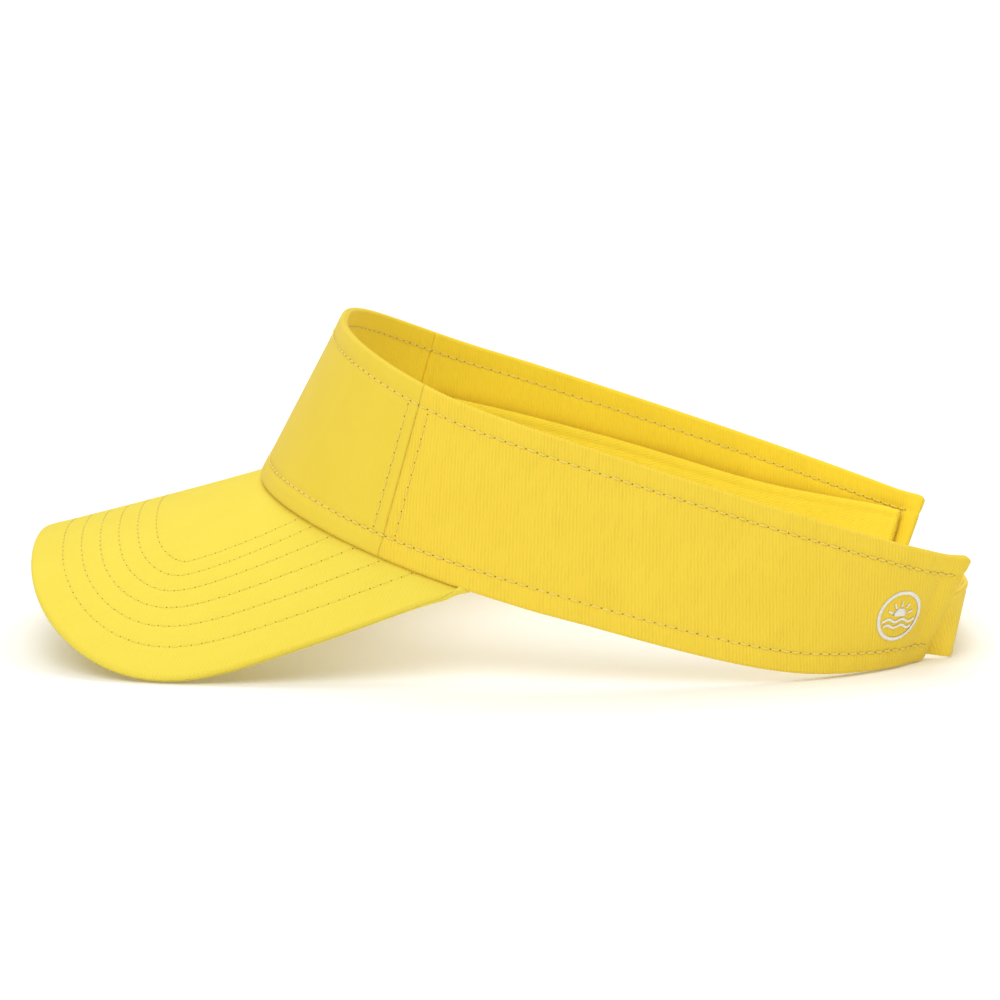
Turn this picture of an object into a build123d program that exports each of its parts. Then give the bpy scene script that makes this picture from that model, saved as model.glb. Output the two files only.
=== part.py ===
"""Sun visor: a curved bill and a three-panel open crown, closed at the back by a hook-and-loop strap.

Millimetres. +Z is up, the bill points to -Y, and +X is the wearer's left. The visor stands as it does
on a table: on the two side edges of its bill and on the lower rear edge of its band.
"""

from build123d import *
from math import cos, hypot, radians, sin, sqrt
import os

# ---- band: plan of its lower and upper edges (superellipses about a centre on the mid plane)
band_half_width = 80.0
band_front = 98.5
band_rear = 98.5
band_centre_y = 4.5
band_squareness = 2.4
side_lean = 4.9
top_half_width = band_half_width - side_lean
top_front = 75.1
top_rear = 125.3
top_centre_y = 5.0
top_squareness = 2.68
top_rear_squareness = 2.416

# ---- band: where the seams and ends lie, as angles about the centre, 0 at the middle of the front
seam_angle = 47.0
seam_top_angle = 51.7
end_angle = 154.3
end_top_angle = 152.45
horn_angle = 62.6

# ---- band: height of its two edges above the table
low_slope = 0.291
low_foot_y = 57.2
low_foot_blend = 18.6
low_front_lift = 0.0008
low_front_lift_y = -28.5
top_height = 64.2
top_slope = 0.33
top_front_lift = 0.0029
top_front_lift_y = -27.3
top_rear_lift = 0.0102
top_rear_lift_y = 95.2

# ---- fabric layers of the band, from its outer face inwards
twill = 0.6
stiffener = 0.6
lining = 0.5
layer_gap = 0.12
turning = 0.8
sweatband_thickness = 2.0
sweatband_width = 29.0
sweatband_skin = 0.45
sweatband_foot = 0.6
sweatband_end_margin = 6.5
row_end_margin = 3.5
padding_gap = 0.05
lining_margin = 0.2

# ---- runs of cross sections, as shares of an edge line's length
panel_end_share = 0.001
panel_joint_share = 0.01
panel_sections = 13
bill_sections = 33
row_sections = 41

# ---- bill
bill_length = 67.5
bill_tuck = 2.4
bill_half_width = band_half_width - bill_tuck
bill_widest = -5.0
bill_squareness = 3.9
bill_horn_narrowing = 1.0
bill_pitch = 14.9
bill_arch_margin = 4.4
bill_arch_half_width = bill_half_width + bill_arch_margin
bill_arch_depth = 51.9
bill_arch_growth = 0.0018
bill_crest_height = 46.4
bill_board_thickness = 1.7
bill_cover_thickness = 0.5
bill_board_margin = 1.4
bill_board_end_share = 0.015
bill_horn_reach = 9.5
bill_side_points = 4
bill_seam_inset = 1.6
bill_seam_drop = 0.25
bill_end_share = 0.965
bill_board_seam_margin = 2.0
bill_row_end_margin = 0.6
bill_thread_lift = 0.15

# ---- thread
thread = 0.5
thread_height = 0.3
thread_lift = 0.06
edge_stitch_distance = 5.7
seam_stitch_distance = 3.5
bill_rows = 6
bill_first_row = 9.6
bill_row_spacing = 5.5
bill_row_side_spacing = 7.0
bill_row_share = 0.04
bill_row_points = 47
sweatband_stitch_distance = 2.2

# ---- closure: a webbing strap with hook tape on the left, a webbing tab with loop tape on the right
strap_width = 20.0
strap_tip_width = 14.5
tab_width = 14.5
strap_thickness = 1.2
strap_foot = 0.5
tape_thickness = 1.1
tape_margin = 1.5
tape_gap = 0.35
back_radius = 235.0
back_lean = 5.0
hinge_gap = 5.5
root_depth = 5.0
root_clearance = 0.3
tab_tip_x = 8.0
hook_length = 30.0
loop_length = 36.0
tape_end_margin = 2.0

# ---- closure: distances inwards (X) and backwards (Y) from the lower rear corners of the side panels
hinge_inset = 1.7
strap_hinge_reach = 9.2
tab_hinge_reach = 6.2
back_reach = 13.3
span_inset = 9.7
strap_tip_inset = 8.7

# ---- embroidered emblem on the left side panel
emblem_radius = 7.6
emblem_rim = 1.2
emblem_thickness = 0.7
emblem_lift = 0.3
emblem_from_end = 19.5
emblem_height = 16.0


def superellipse(angle, half_width, front, rear, square, rear_square):
    """Plan point at an angle about the centre, measured from -Y towards +X."""
    turn = radians(angle)
    ahead = cos(turn) >= 0
    length = front if ahead else rear
    power = square if ahead else rear_square
    radius = (abs(sin(turn) / half_width) ** power + abs(cos(turn) / length) ** power) ** (-1 / power)
    return radius * sin(turn), -radius * cos(turn)


def low_edge_height(y):
    """Height of the band's lower edge: a steady slope that settles flat on the table at the back."""
    reach = low_foot_y - y
    foot = low_foot_y - band_centre_y - band_rear
    settled = hypot(foot, low_foot_blend) + foot
    lift = low_front_lift * max(0.0, low_front_lift_y - y) ** 2
    return low_slope * 0.5 * (hypot(reach, low_foot_blend) + reach - settled) + lift


def top_edge_height(y):
    """Height of the band's upper edge."""
    lift = top_front_lift * max(0.0, top_front_lift_y - y) ** 2
    rear = top_rear_lift * max(0.0, y - top_rear_lift_y) ** 2
    return top_height - top_slope * y + lift + rear


def low_edge_point(angle, inset=0.0, drop=0.0):
    """Point on the lower edge of the band's outer face, moved inwards and down if asked."""
    x, y = superellipse(angle, band_half_width - inset, band_front - inset, band_rear - inset,
                        band_squareness, band_squareness)
    y += band_centre_y
    return Vector(x, y - centre_y, low_edge_height(y) - drop)


def top_edge_point(angle):
    """Point on the upper edge of the band's outer face."""
    x, y = superellipse(angle, top_half_width, top_front, top_rear, top_squareness, top_rear_squareness)
    y += top_centre_y
    return Vector(x, y - centre_y, top_edge_height(y))


def bill_point(x, along):
    """Point on the bill's arched upper face, from its place across and its distance ahead of the crown."""
    pitch = radians(bill_pitch)
    arch = bill_arch_depth * (1 - sqrt(1 - (x / bill_arch_half_width) ** 2))
    drop = arch * (1 + bill_arch_growth * (along + 50))
    y = band_centre_y - band_front - along * cos(pitch) + drop * sin(pitch)
    return Vector(x, y - centre_y, bill_crest_height - along * sin(pitch) - drop * cos(pitch))


def bill_outline_point(angle):
    """Point on the bill's outer edge, at an angle about the middle of its widest line."""
    front = bill_length - bill_widest
    x, y = superellipse(angle, bill_half_width, front, front, bill_squareness, bill_squareness)
    return bill_point(x, bill_widest - y)


def bill_side_point(share):
    """Point on the bill's side edge, from its widest line (0) back to the horn (1)."""
    x = bill_half_width - bill_horn_narrowing * share**2
    return bill_point(x, bill_widest + (bill_horn_along - bill_widest) * share)


def spread(first, last, count):
    """Evenly spaced numbers, both ends included."""
    return [first + (last - first) * i / (count - 1) for i in range(count)]


def strip_frame(station):
    """Frame of a strip at one station: x is outwards, y runs from its low to its high edge."""
    low_line, high_line, share = station
    low = low_line @ share
    high = high_line @ share
    along = (low_line % share + high_line % share).normalized()
    rise = (high - low).normalized()
    out = along.cross(rise).normalized()
    return Plane(origin=low, x_dir=out, z_dir=out.cross(rise)), (high - low).length


def strip(stations, profile):
    """Cross sections of a strip, one at each station, for a loft. The profile gives the corners."""
    sections = []
    for station in stations:
        frame, height = strip_frame(station)
        with BuildSketch(frame) as section:
            with BuildLine():
                Polyline(*profile(height), close=True)
            make_face()
        sections.append(section.sketch.face())
    return sections


def layer(inner, outer, from_low=0.0, from_high=0.0):
    """Profile of a flat layer that reaches from near the strip's low edge to near its high edge."""
    def corners(height):
        top = height - from_high
        return [(inner, from_low), (outer, from_low), (outer, top), (inner, top)]
    return corners


def ribbon(inner, outer, from_low, width):
    """Profile of a flat layer of one width, measured up from the strip's low edge."""
    return lambda height: layer(inner, outer, from_low, height - from_low - width)(height)


def row(face, from_low=None, from_high=None):
    """Profile of a row of thread on a face of the strip, at a distance from one of its edges."""
    inner, outer = sorted((face, face + (thread_height if face > 0 else -thread_height)))
    if from_low is not None:
        return ribbon(inner, outer, from_low - thread / 2, thread)
    return lambda height: ribbon(inner, outer, height - from_high - thread / 2, thread)(height)


def stations(lines, shares):
    """Stations on a pair of edge lines."""
    return [(lines[0], lines[1], share) for share in shares]


def line_length(lines):
    """Length of a strip's low edge."""
    return lines[0].length


def across_row(lines, distance, from_end):
    """Two close stations that hold a row of thread across a strip, at a distance from one end."""
    near = (distance - thread / 2) / line_length(lines)
    far = (distance + thread / 2) / line_length(lines)
    return stations(lines, (1 - far, 1 - near) if from_end else (near, far))


def share_at_x(line, x):
    """Share of a line's length where it passes x. The line runs towards -X."""
    low, high = 0.0, 1.0
    for _ in range(40):
        middle = (low + high) / 2
        low, high = (middle, high) if (line @ middle).X > x else (low, middle)
    return low


def bill_row_distance(share, number):
    """Distance of a row of thread inside the bill's edge: rows lie further apart along its sides."""
    side = min(1.0, max(0.0, (abs(2 * share - 1) - 0.25) / 0.35))
    spacing = bill_row_spacing + (bill_row_side_spacing - bill_row_spacing) * side**2 * (3 - 2 * side)
    return bill_first_row + number * spacing


def bill_row_point(share, distance):
    """Point of the bill's surface at a share, at a distance inside its outer edge, if there is one."""
    edge = bill[0] @ share
    seam = bill[1] @ share
    low, high = 0.0, 1.0
    if bill[0].distance_to(seam) < distance + bill_row_end_margin:
        return None
    for _ in range(24):
        middle = (low + high) / 2
        point = edge + (seam - edge) * middle
        low, high = (middle, high) if bill[0].distance_to(point) < distance else (low, middle)
    return edge + (seam - edge) * low


def finish(node, name):
    """Name a finished piece and write it out."""
    node.part.label = name
    export_step(node.part, f"parts/{name}.step")


def back_point(x, level, inset, width, tip_width):
    """Point on the closure's arc behind the head: level 0 is its low edge, 1 its high edge."""
    share = (back_half_span - x) / (back_half_span - strap_tip_x)
    height = (width + (tip_width - width) * share) * level
    y = back_y - x**2 / (2 * back_radius) - inset + back_lean * (height / strap_width - 0.5)
    return Vector(x, y, strap_foot + height)


def hinge_point(side, y, level, width):
    """Point on the upright line where a strap leaves its sewn root."""
    return Vector(side * hinge_x, y, strap_foot + width * level)


def panel_point(lines, from_end, height, inset):
    """Point inside a side panel's end, at a height up the panel."""
    frame, _ = strip_frame((*lines, from_end))
    return frame.origin + frame.y_dir * height - frame.x_dir * inset


os.makedirs("parts", exist_ok=True)

# ---- the visor's middle along Y: the origin is under the middle of its length
pitch_angle = radians(bill_pitch)
bill_tip_y = band_centre_y - band_front - bill_length * cos(pitch_angle)
corner_y = superellipse(end_angle, band_half_width, band_front, band_rear,
                        band_squareness, band_squareness)[1]
strap_back_y = band_centre_y + corner_y + back_reach + back_lean / 2
centre_y = (bill_tip_y + strap_back_y) / 2

# ---- where the bill's horns end on the band, as a distance along the bill
horn = low_edge_point(horn_angle)
bill_horn_along = (band_centre_y - band_front - centre_y - horn.Y) / cos(pitch_angle) + bill_horn_reach

# ---- edge lines: the front panel's, then one side panel's, each from the wearer's right to left
with BuildLine() as front_low:
    Spline(*[low_edge_point(a) for a in spread(-seam_angle, seam_angle, 13)])
with BuildLine() as front_high:
    Spline(*[top_edge_point(a) for a in spread(-seam_top_angle, seam_top_angle, 13)])
with BuildLine() as left_low:
    Spline(*[low_edge_point(a) for a in spread(seam_angle, end_angle, 12)])
with BuildLine() as left_high:
    Spline(*[top_edge_point(a) for a in spread(seam_top_angle, end_top_angle, 12)])
with BuildLine() as right_low:
    Spline(*[low_edge_point(a) for a in spread(-end_angle, -seam_angle, 12)])
with BuildLine() as right_high:
    Spline(*[top_edge_point(a) for a in spread(-end_top_angle, -seam_top_angle, 12)])
with BuildLine() as bill_seam:
    horns = spread(-horn_angle, horn_angle, 15)
    Spline(*[low_edge_point(a, bill_seam_inset, bill_seam_drop) for a in horns])
with BuildLine() as bill_edge:
    left_side = [bill_side_point(share) for share in spread(1 / bill_side_points, 1, bill_side_points)]
    right_side = [Vector(-p.X, p.Y, p.Z) for p in reversed(left_side)]
    Spline(*right_side, *[bill_outline_point(a) for a in spread(-90, 90, 21)], *left_side)

front = (front_low.wire(), front_high.wire())
left = (left_low.wire(), left_high.wire())
right = (right_low.wire(), right_high.wire())
bill = (bill_edge.wire(), bill_seam.wire())

panel_shares = spread(panel_end_share, 1 - panel_end_share, panel_sections)
front_run = stations(front, panel_shares)
left_run = stations(left, panel_shares)
right_run = stations(right, panel_shares)


def band_run(end_margin):
    """Stations along the whole band, from a distance before its right end to the same at its left."""
    margin = end_margin / line_length(left)
    before = stations(right, spread(margin, 1 - panel_joint_share, panel_sections))
    after = stations(left, spread(panel_joint_share, 1 - margin, panel_sections))
    return before + front_run[1:-1] + after


sweatband_run = band_run(sweatband_end_margin)
padding_run = band_run(sweatband_end_margin + sweatband_skin)
whole_run = band_run(row_end_margin)
board_end_share = bill_end_share - bill_board_end_share
bill_run = stations(bill, spread(1 - bill_end_share, bill_end_share, bill_sections))
board_run = stations(bill, spread(1 - board_end_share, board_end_share, bill_sections))

# ---- faces of the layers, measured outwards from the band's outer face
side_lining_face = -twill - layer_gap
front_lining_face = side_lining_face - stiffener - layer_gap
sweatband_face = front_lining_face - lining - layer_gap
sweatband_back = sweatband_face - sweatband_thickness

# ---- bill
board_face = -bill_cover_thickness - layer_gap
board_back = board_face - bill_board_thickness
under_face = board_back - layer_gap - bill_cover_thickness
cover_middle = under_face / 2


def top_cover_profile(height):
    """The upper cover, turned down over the outer edge of the bill as far as the edge's middle."""
    skin = bill_cover_thickness
    low = cover_middle + layer_gap / 2
    return [(0, height), (0, 0), (low, 0), (low, skin), (-skin, skin), (-skin, height)]


def under_cover_profile(height):
    """The lower cover, turned up over the outer edge of the bill to meet the upper cover."""
    skin = bill_cover_thickness
    high = cover_middle - layer_gap / 2
    back = under_face
    front = back + skin
    return [(back, height), (back, 0), (high, 0), (high, skin), (front, skin), (front, height)]


with BuildPart() as bill_board:
    loft(strip(board_run, layer(board_back, board_face, bill_board_margin, bill_board_seam_margin)))
finish(bill_board, "bill_board")

with BuildPart() as bill_top_cover:
    loft(strip(bill_run, top_cover_profile))
finish(bill_top_cover, "bill_top_cover")

with BuildPart() as bill_under_cover:
    loft(strip(bill_run, under_cover_profile))
finish(bill_under_cover, "bill_under_cover")

with BuildPart() as bill_stitching:
    for number in range(bill_rows):
        low_points, high_points = [], []
        for share in spread(bill_row_share, 1 - bill_row_share, bill_row_points):
            middle = bill_row_distance(share, number)
            low_point = bill_row_point(share, middle - thread / 2)
            high_point = bill_row_point(share, middle + thread / 2)
            if low_point is not None and high_point is not None:
                low_points.append(low_point)
                high_points.append(high_point)
        with BuildLine() as row_low:
            Spline(*low_points)
        with BuildLine() as row_high:
            Spline(*high_points)
        row_run = stations((row_low.wire(), row_high.wire()), spread(0, 1, row_sections))
        loft(strip(row_run, layer(bill_thread_lift, bill_thread_lift + thread_height)))
finish(bill_stitching, "bill_stitching")

# ---- band: outer panels, stiffener and linings
panels = (("front_panel", front_run), ("left_side_panel", left_run), ("right_side_panel", right_run))
for name, run in panels:
    with BuildPart() as panel:
        loft(strip(run, layer(-twill, 0)))
    finish(panel, name)

with BuildPart() as front_stiffener:
    loft(strip(front_run, layer(side_lining_face - stiffener, side_lining_face, turning, turning)))
finish(front_stiffener, "front_stiffener")

linings = (("front_lining", front_run, front_lining_face), ("left_lining", left_run, side_lining_face),
           ("right_lining", right_run, side_lining_face))
for name, run, face in linings:
    with BuildPart() as inside:
        loft(strip(run, layer(face - lining, face, lining_margin, lining_margin)))
    finish(inside, name)

# ---- sweatband: a folded skin round a soft strip
with BuildPart() as sweatband_cover:
    loft(strip(sweatband_run, ribbon(sweatband_back, sweatband_face, sweatband_foot, sweatband_width)))
    loft(strip(padding_run, ribbon(sweatband_back + sweatband_skin, sweatband_face - sweatband_skin,
                                   sweatband_foot + sweatband_skin, sweatband_width - 2 * sweatband_skin)),
         mode=Mode.SUBTRACT)
finish(sweatband_cover, "sweatband_cover")

padding_inset = sweatband_skin + padding_gap
with BuildPart() as sweatband_padding:
    loft(strip(padding_run[1:-1], ribbon(sweatband_back + padding_inset, sweatband_face - padding_inset,
                                         sweatband_foot + padding_inset,
                                         sweatband_width - 2 * padding_inset)))
finish(sweatband_padding, "sweatband_padding")

# ---- rows of thread on the band
with BuildPart() as top_edge_stitching:
    loft(strip(whole_run, row(thread_lift, from_high=edge_stitch_distance)))
    for _, run, face in linings:
        loft(strip(run[1:-1], row(face - lining - thread_lift, from_high=edge_stitch_distance)))
finish(top_edge_stitching, "top_edge_stitching")

with BuildPart() as bottom_edge_stitching:
    loft(strip(whole_run, row(thread_lift, from_low=edge_stitch_distance)))
finish(bottom_edge_stitching, "bottom_edge_stitching")

seam_margin = edge_stitch_distance + 2 * thread
seam_profile = layer(thread_lift, thread_lift + thread_height, seam_margin, seam_margin)
with BuildPart() as left_seam_stitching:
    loft(strip(across_row(front, seam_stitch_distance, True), seam_profile))
    loft(strip(across_row(left, seam_stitch_distance, False), seam_profile))
finish(left_seam_stitching, "left_seam_stitching")

with BuildPart() as right_seam_stitching:
    loft(strip(across_row(front, seam_stitch_distance, False), seam_profile))
    loft(strip(across_row(right, seam_stitch_distance, True), seam_profile))
finish(right_seam_stitching, "right_seam_stitching")

with BuildPart() as sweatband_stitching:
    hem_height = sweatband_foot + sweatband_width - sweatband_stitch_distance
    loft(strip(padding_run, row(sweatband_back - thread_lift, from_low=hem_height)))
finish(sweatband_stitching, "sweatband_stitching")

# ---- closure
corner = low_edge_point(end_angle)
hinge_x = corner.X - hinge_inset
strap_hinge_y = corner.Y + strap_hinge_reach
tab_hinge_y = corner.Y + tab_hinge_reach
back_y = corner.Y + back_reach
back_half_span = corner.X - span_inset
strap_tip_x = strap_tip_inset - corner.X
root_inset = -side_lining_face + lining + root_clearance
tape_stack = strap_thickness + layer_gap + tape_thickness + tape_gap + tape_thickness + layer_gap
hook_face = -strap_thickness - layer_gap
loop_face = hook_face - tape_thickness - tape_gap
arc_places = spread(back_half_span, -back_half_span, 9)


def closure_lines(inset, hinge_y, width, tip_width):
    """Low and high edges of a strap's outer face, from the left hinge line to the right one."""
    lines = []
    for level in (0, 1):
        arc = [back_point(x, level, inset, width, tip_width) for x in arc_places]
        with BuildLine() as edge:
            Spline(hinge_point(1, hinge_y, level, width), *arc, hinge_point(-1, hinge_y, level, tip_width))
        lines.append(edge.wire())
    return tuple(lines)


def root_lines(panel_lines, side, hinge_y, width):
    """Low and high edges of a sewn strap root, from the hinge line to its end inside the panel."""
    lines = []
    length = line_length(panel_lines)
    for level in (0, 1):
        places = [1 - depth / length for depth in spread(0, root_depth, 3)]
        if side < 0:
            places = [1 - place for place in places]
        height = strap_foot + width * level
        inside = [panel_point(panel_lines, place, height, root_inset) for place in places]
        with BuildLine() as edge:
            Spline(hinge_point(side, hinge_y, level, width), *inside)
        lines.append(edge.wire())
    return tuple(lines)


strap_lines = closure_lines(0, strap_hinge_y, strap_width, strap_tip_width)
tab_lines = closure_lines(tape_stack, tab_hinge_y, tab_width, tab_width)
strap_start = hinge_gap / 2 / line_length(strap_lines)
strap_end = share_at_x(strap_lines[0], strap_tip_x)
tab_start = share_at_x(tab_lines[0], tab_tip_x)
tab_end = 1 - hinge_gap / 2 / line_length(tab_lines)

with BuildPart() as left_strap:
    loft(strip(stations(strap_lines, spread(strap_start, strap_end, 11)), layer(-strap_thickness, 0)))
finish(left_strap, "left_strap")

with BuildPart() as right_tab:
    loft(strip(stations(tab_lines, spread(tab_start, tab_end, 9)), layer(-strap_thickness, 0)))
finish(right_tab, "right_tab")

hook_first = share_at_x(strap_lines[0], strap_tip_x + tape_end_margin + hook_length)
hook_last = share_at_x(strap_lines[0], strap_tip_x + tape_end_margin)
with BuildPart() as hook_tape:
    loft(strip(stations(strap_lines, spread(hook_first, hook_last, 7)),
               layer(hook_face - tape_thickness, hook_face, tape_margin, tape_margin)))
finish(hook_tape, "hook_tape")

loop_first = share_at_x(tab_lines[0], tab_tip_x - tape_end_margin)
loop_last = share_at_x(tab_lines[0], tab_tip_x - tape_end_margin - loop_length)
with BuildPart() as loop_tape:
    loft(strip(stations(tab_lines, spread(loop_first, loop_last, 7)),
               layer(layer_gap, layer_gap + tape_thickness, tape_margin, tape_margin)))
finish(loop_tape, "loop_tape")

left_root = root_lines(left, 1, strap_hinge_y, strap_width)
right_root = root_lines(right, -1, tab_hinge_y, tab_width)
for name, lines, side in (("left_strap_root", left_root, 1), ("right_tab_root", right_root, -1)):
    first = hinge_gap / 2 / line_length(lines)
    faces = (0, strap_thickness) if side > 0 else (-strap_thickness, 0)
    with BuildPart() as root:
        loft(strip(stations(lines, spread(first, 1, 6)), layer(*faces)))
    finish(root, name)

# ---- emblem: a round embroidered patch with a raised rim
emblem_frame, _ = strip_frame((*left, 1 - emblem_from_end / line_length(left)))
emblem_raise = emblem_frame.x_dir * (thread_lift + emblem_lift)
emblem_centre = emblem_frame.origin + emblem_frame.y_dir * emblem_height + emblem_raise
emblem_plane = Plane(origin=emblem_centre, x_dir=emblem_frame.z_dir, z_dir=emblem_frame.x_dir)
with BuildPart() as rear_emblem:
    with BuildSketch(emblem_plane):
        Circle(emblem_radius)
    extrude(amount=emblem_thickness / 2)
    with BuildSketch(emblem_plane.offset(emblem_thickness / 2)):
        Circle(emblem_radius)
        Circle(emblem_radius - emblem_rim, mode=Mode.SUBTRACT)
    extrude(amount=emblem_thickness / 2)
finish(rear_emblem, "rear_emblem")
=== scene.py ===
"""Looks of a yellow cotton sun visor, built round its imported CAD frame.

The band, bill and straps are surfaces worked out from the same driving sizes as the CAD model, with the
relief that sewing gives cloth: rolled edges, seam grooves, puckers beside the thread and soft wrinkles.
"""
from __future__ import annotations

import bpy
import bmesh
import logging
import math
import numpy as np
from dataclasses import dataclass, field
from enum import Enum
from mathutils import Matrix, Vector

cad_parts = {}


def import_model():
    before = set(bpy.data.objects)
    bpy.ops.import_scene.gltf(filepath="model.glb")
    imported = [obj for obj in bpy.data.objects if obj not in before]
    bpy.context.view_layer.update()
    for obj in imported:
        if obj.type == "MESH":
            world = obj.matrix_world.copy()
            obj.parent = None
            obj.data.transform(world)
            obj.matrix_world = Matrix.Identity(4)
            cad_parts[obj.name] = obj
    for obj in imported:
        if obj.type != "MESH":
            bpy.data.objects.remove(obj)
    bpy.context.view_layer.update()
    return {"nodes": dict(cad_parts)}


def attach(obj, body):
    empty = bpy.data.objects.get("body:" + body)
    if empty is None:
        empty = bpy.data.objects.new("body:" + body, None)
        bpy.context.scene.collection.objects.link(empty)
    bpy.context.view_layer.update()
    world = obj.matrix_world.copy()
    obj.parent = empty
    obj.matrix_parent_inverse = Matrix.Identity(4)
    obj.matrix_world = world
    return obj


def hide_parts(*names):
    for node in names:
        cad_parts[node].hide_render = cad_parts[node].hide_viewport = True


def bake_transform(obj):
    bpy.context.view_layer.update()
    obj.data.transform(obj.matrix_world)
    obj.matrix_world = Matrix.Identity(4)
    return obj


LOG = logging.getLogger("sun_visor")
MM = 0.001
Array = np.ndarray


class Body(Enum):
    """Rigid bodies of the frame that pieces ride on."""

    CROWN = "crown"
    STRAP = "strap"
    TAB = "tab"


class Side(Enum):
    """The wearer's two sides."""

    LEFT = 1
    RIGHT = -1


# ---------------------------------------------------------------- small tools


def linear(hex_colour: str) -> tuple[float, float, float, float]:
    """Turn an sRGB hex colour into linear RGBA.

    Args:
        hex_colour: Six hex digits after a hash.

    Returns:
        Linear red, green, blue and an alpha of 1.
    """
    parts = [int(hex_colour[i:i + 2], 16) / 255 for i in (1, 3, 5)]
    return (*[c / 12.92 if c <= 0.04045 else ((c + 0.055) / 1.055) ** 2.4 for c in parts], 1.0)


def lerp_rows(x: Array, xs: Array, table: Array) -> Array:
    """Interpolate every column of a table at x.

    Args:
        x: Places to read, of any shape.
        xs: Increasing places of the table's rows.
        table: Rows by columns.

    Returns:
        An array of x's shape with one more axis, of the table's columns.
    """
    return np.stack([np.interp(x, xs, column) for column in table.T], axis=-1)


def unit(vectors: Array) -> Array:
    """Scale vectors along the last axis to length one."""
    return vectors / np.linalg.norm(vectors, axis=-1, keepdims=True)


def arc_lengths(points: Array) -> Array:
    """Distance along a polyline at each of its points."""
    return np.concatenate([[0.0], np.cumsum(np.linalg.norm(np.diff(points, axis=0), axis=1))])


def by_length(points: Array, count: int) -> Array:
    """Resample a polyline at evenly spaced distances along it."""
    length = arc_lengths(points)
    return lerp_rows(np.linspace(0, length[-1], count), length, points)


def spline_through(places: Array, points: Array, at: Array) -> Array:
    """Natural cubic spline through points, read at given places.

    Args:
        places: Increasing parameter of each point.
        points: The points, one per row.
        at: Parameters to read.

    Returns:
        One point for each parameter.
    """
    step = np.diff(places)
    count = len(places)
    system = np.eye(count)
    right = np.zeros_like(points)
    inner = np.arange(1, count - 1)
    system[inner, inner - 1] = step[:-1]
    system[inner, inner] = 2 * (step[:-1] + step[1:])
    system[inner, inner + 1] = step[1:]
    slope = np.diff(points, axis=0) / step[:, None]
    right[1:-1] = 6 * np.diff(slope, axis=0)
    bend = np.linalg.solve(system, right)
    k = np.clip(np.searchsorted(places, at) - 1, 0, count - 2)
    a = ((places[k + 1] - at) / step[k])[:, None]
    b = 1 - a
    span = (step[k] ** 2)[:, None] / 6
    return a * points[k] + b * points[k + 1] + ((a**3 - a) * bend[k] + (b**3 - b) * bend[k + 1]) * span


def bell(distance: Array, width: float) -> Array:
    """A smooth bump of height one at distance zero that fades over width."""
    return np.exp(-((distance / width) ** 2))


def ripples(s: Array, h: Array, seed: int, longest: float, count: int = 9) -> Array:
    """Smooth, repeatable cloth unevenness: a sum of slanted sine waves of falling size.

    Args:
        s: Distance along the cloth in metres.
        h: Height on the cloth in metres.
        seed: Chooses the waves.
        longest: Longest wavelength in metres.
        count: Number of waves.

    Returns:
        Values mostly between -1 and 1.
    """
    draw = np.random.default_rng(seed)
    total = np.zeros(np.broadcast(s, h).shape)
    for _ in range(count):
        wave = longest * draw.uniform(0.25, 1.0)
        turn = draw.uniform(-0.7, 0.7)
        phase = draw.uniform(0, 2 * math.pi)
        total += wave / longest * np.sin(2 * math.pi * (s * math.cos(turn) + h * math.sin(turn)) / wave + phase)
    return total / (0.45 * count)


# ---------------------------------------------------------------- meshes


def tube_quads(rows: int, columns: int) -> Array:
    """Quads of a grid of vertices whose last column joins the first.

    Args:
        rows: Number of grid rows.
        columns: Number of grid columns.

    Returns:
        Vertex numbers, four per quad.
    """
    i, j = np.meshgrid(np.arange(rows - 1), np.arange(columns), indexing="ij")
    k = (j + 1) % columns
    low, high = i * columns, (i + 1) * columns
    return np.stack([low + j, low + k, high + k, high + j], -1).reshape(-1, 4)


def shell_quads(rows: int, columns: int) -> Array:
    """Quads of a closed shell whose columns run out along one face and back along the other.

    Args:
        rows: Number of sections.
        columns: Vertices round each section, an even number, so that quads between facing ones close the ends.

    Returns:
        Vertex numbers, four per quad.
    """
    sides = tube_quads(rows, columns)
    j = np.arange(columns // 2 - 1)
    cap = np.stack([j, j + 1, columns - 2 - j, columns - 1 - j], -1)
    return np.concatenate([sides, cap[:, ::-1], cap + (rows - 1) * columns])


def make_piece(name: str, points: Array, faces: list, uv: Array, materials: list,
               material_index: Array | None = None, recalc: bool = True) -> bpy.types.Object:
    """Put a mesh into the scene.

    Args:
        name: Name of the piece.
        points: Vertices, in metres, in the row frame.
        faces: Vertex numbers of each face, as a list of lists.
        uv: One pair per vertex, in metres along the cloth.
        materials: Materials in slot order.
        material_index: Slot of each face, if there are several.
        recalc: True to make all faces point outwards.

    Returns:
        The new object, at the origin.
    """
    mesh = bpy.data.meshes.new(name)
    mesh.from_pydata(points.reshape(-1, 3).tolist(), [], faces)
    if material_index is not None:
        mesh.polygons.foreach_set("material_index", material_index.astype(np.int32))
    layer = mesh.uv_layers.new(name="cloth")
    corner = np.empty(len(mesh.loops), np.int32)
    mesh.loops.foreach_get("vertex_index", corner)
    layer.data.foreach_set("uv", uv.reshape(-1, 2)[corner].astype(np.float32).ravel())
    mesh.polygons.foreach_set("use_smooth", np.ones(len(mesh.polygons), bool))
    if recalc:
        shape = bmesh.new()
        shape.from_mesh(mesh)
        bmesh.ops.recalc_face_normals(shape, faces=shape.faces)
        shape.to_mesh(mesh)
        shape.free()
    mesh.update()
    for material in materials:
        mesh.materials.append(material)
    piece = bpy.data.objects.new(name, mesh)
    bpy.context.scene.collection.objects.link(piece)
    return piece


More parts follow.
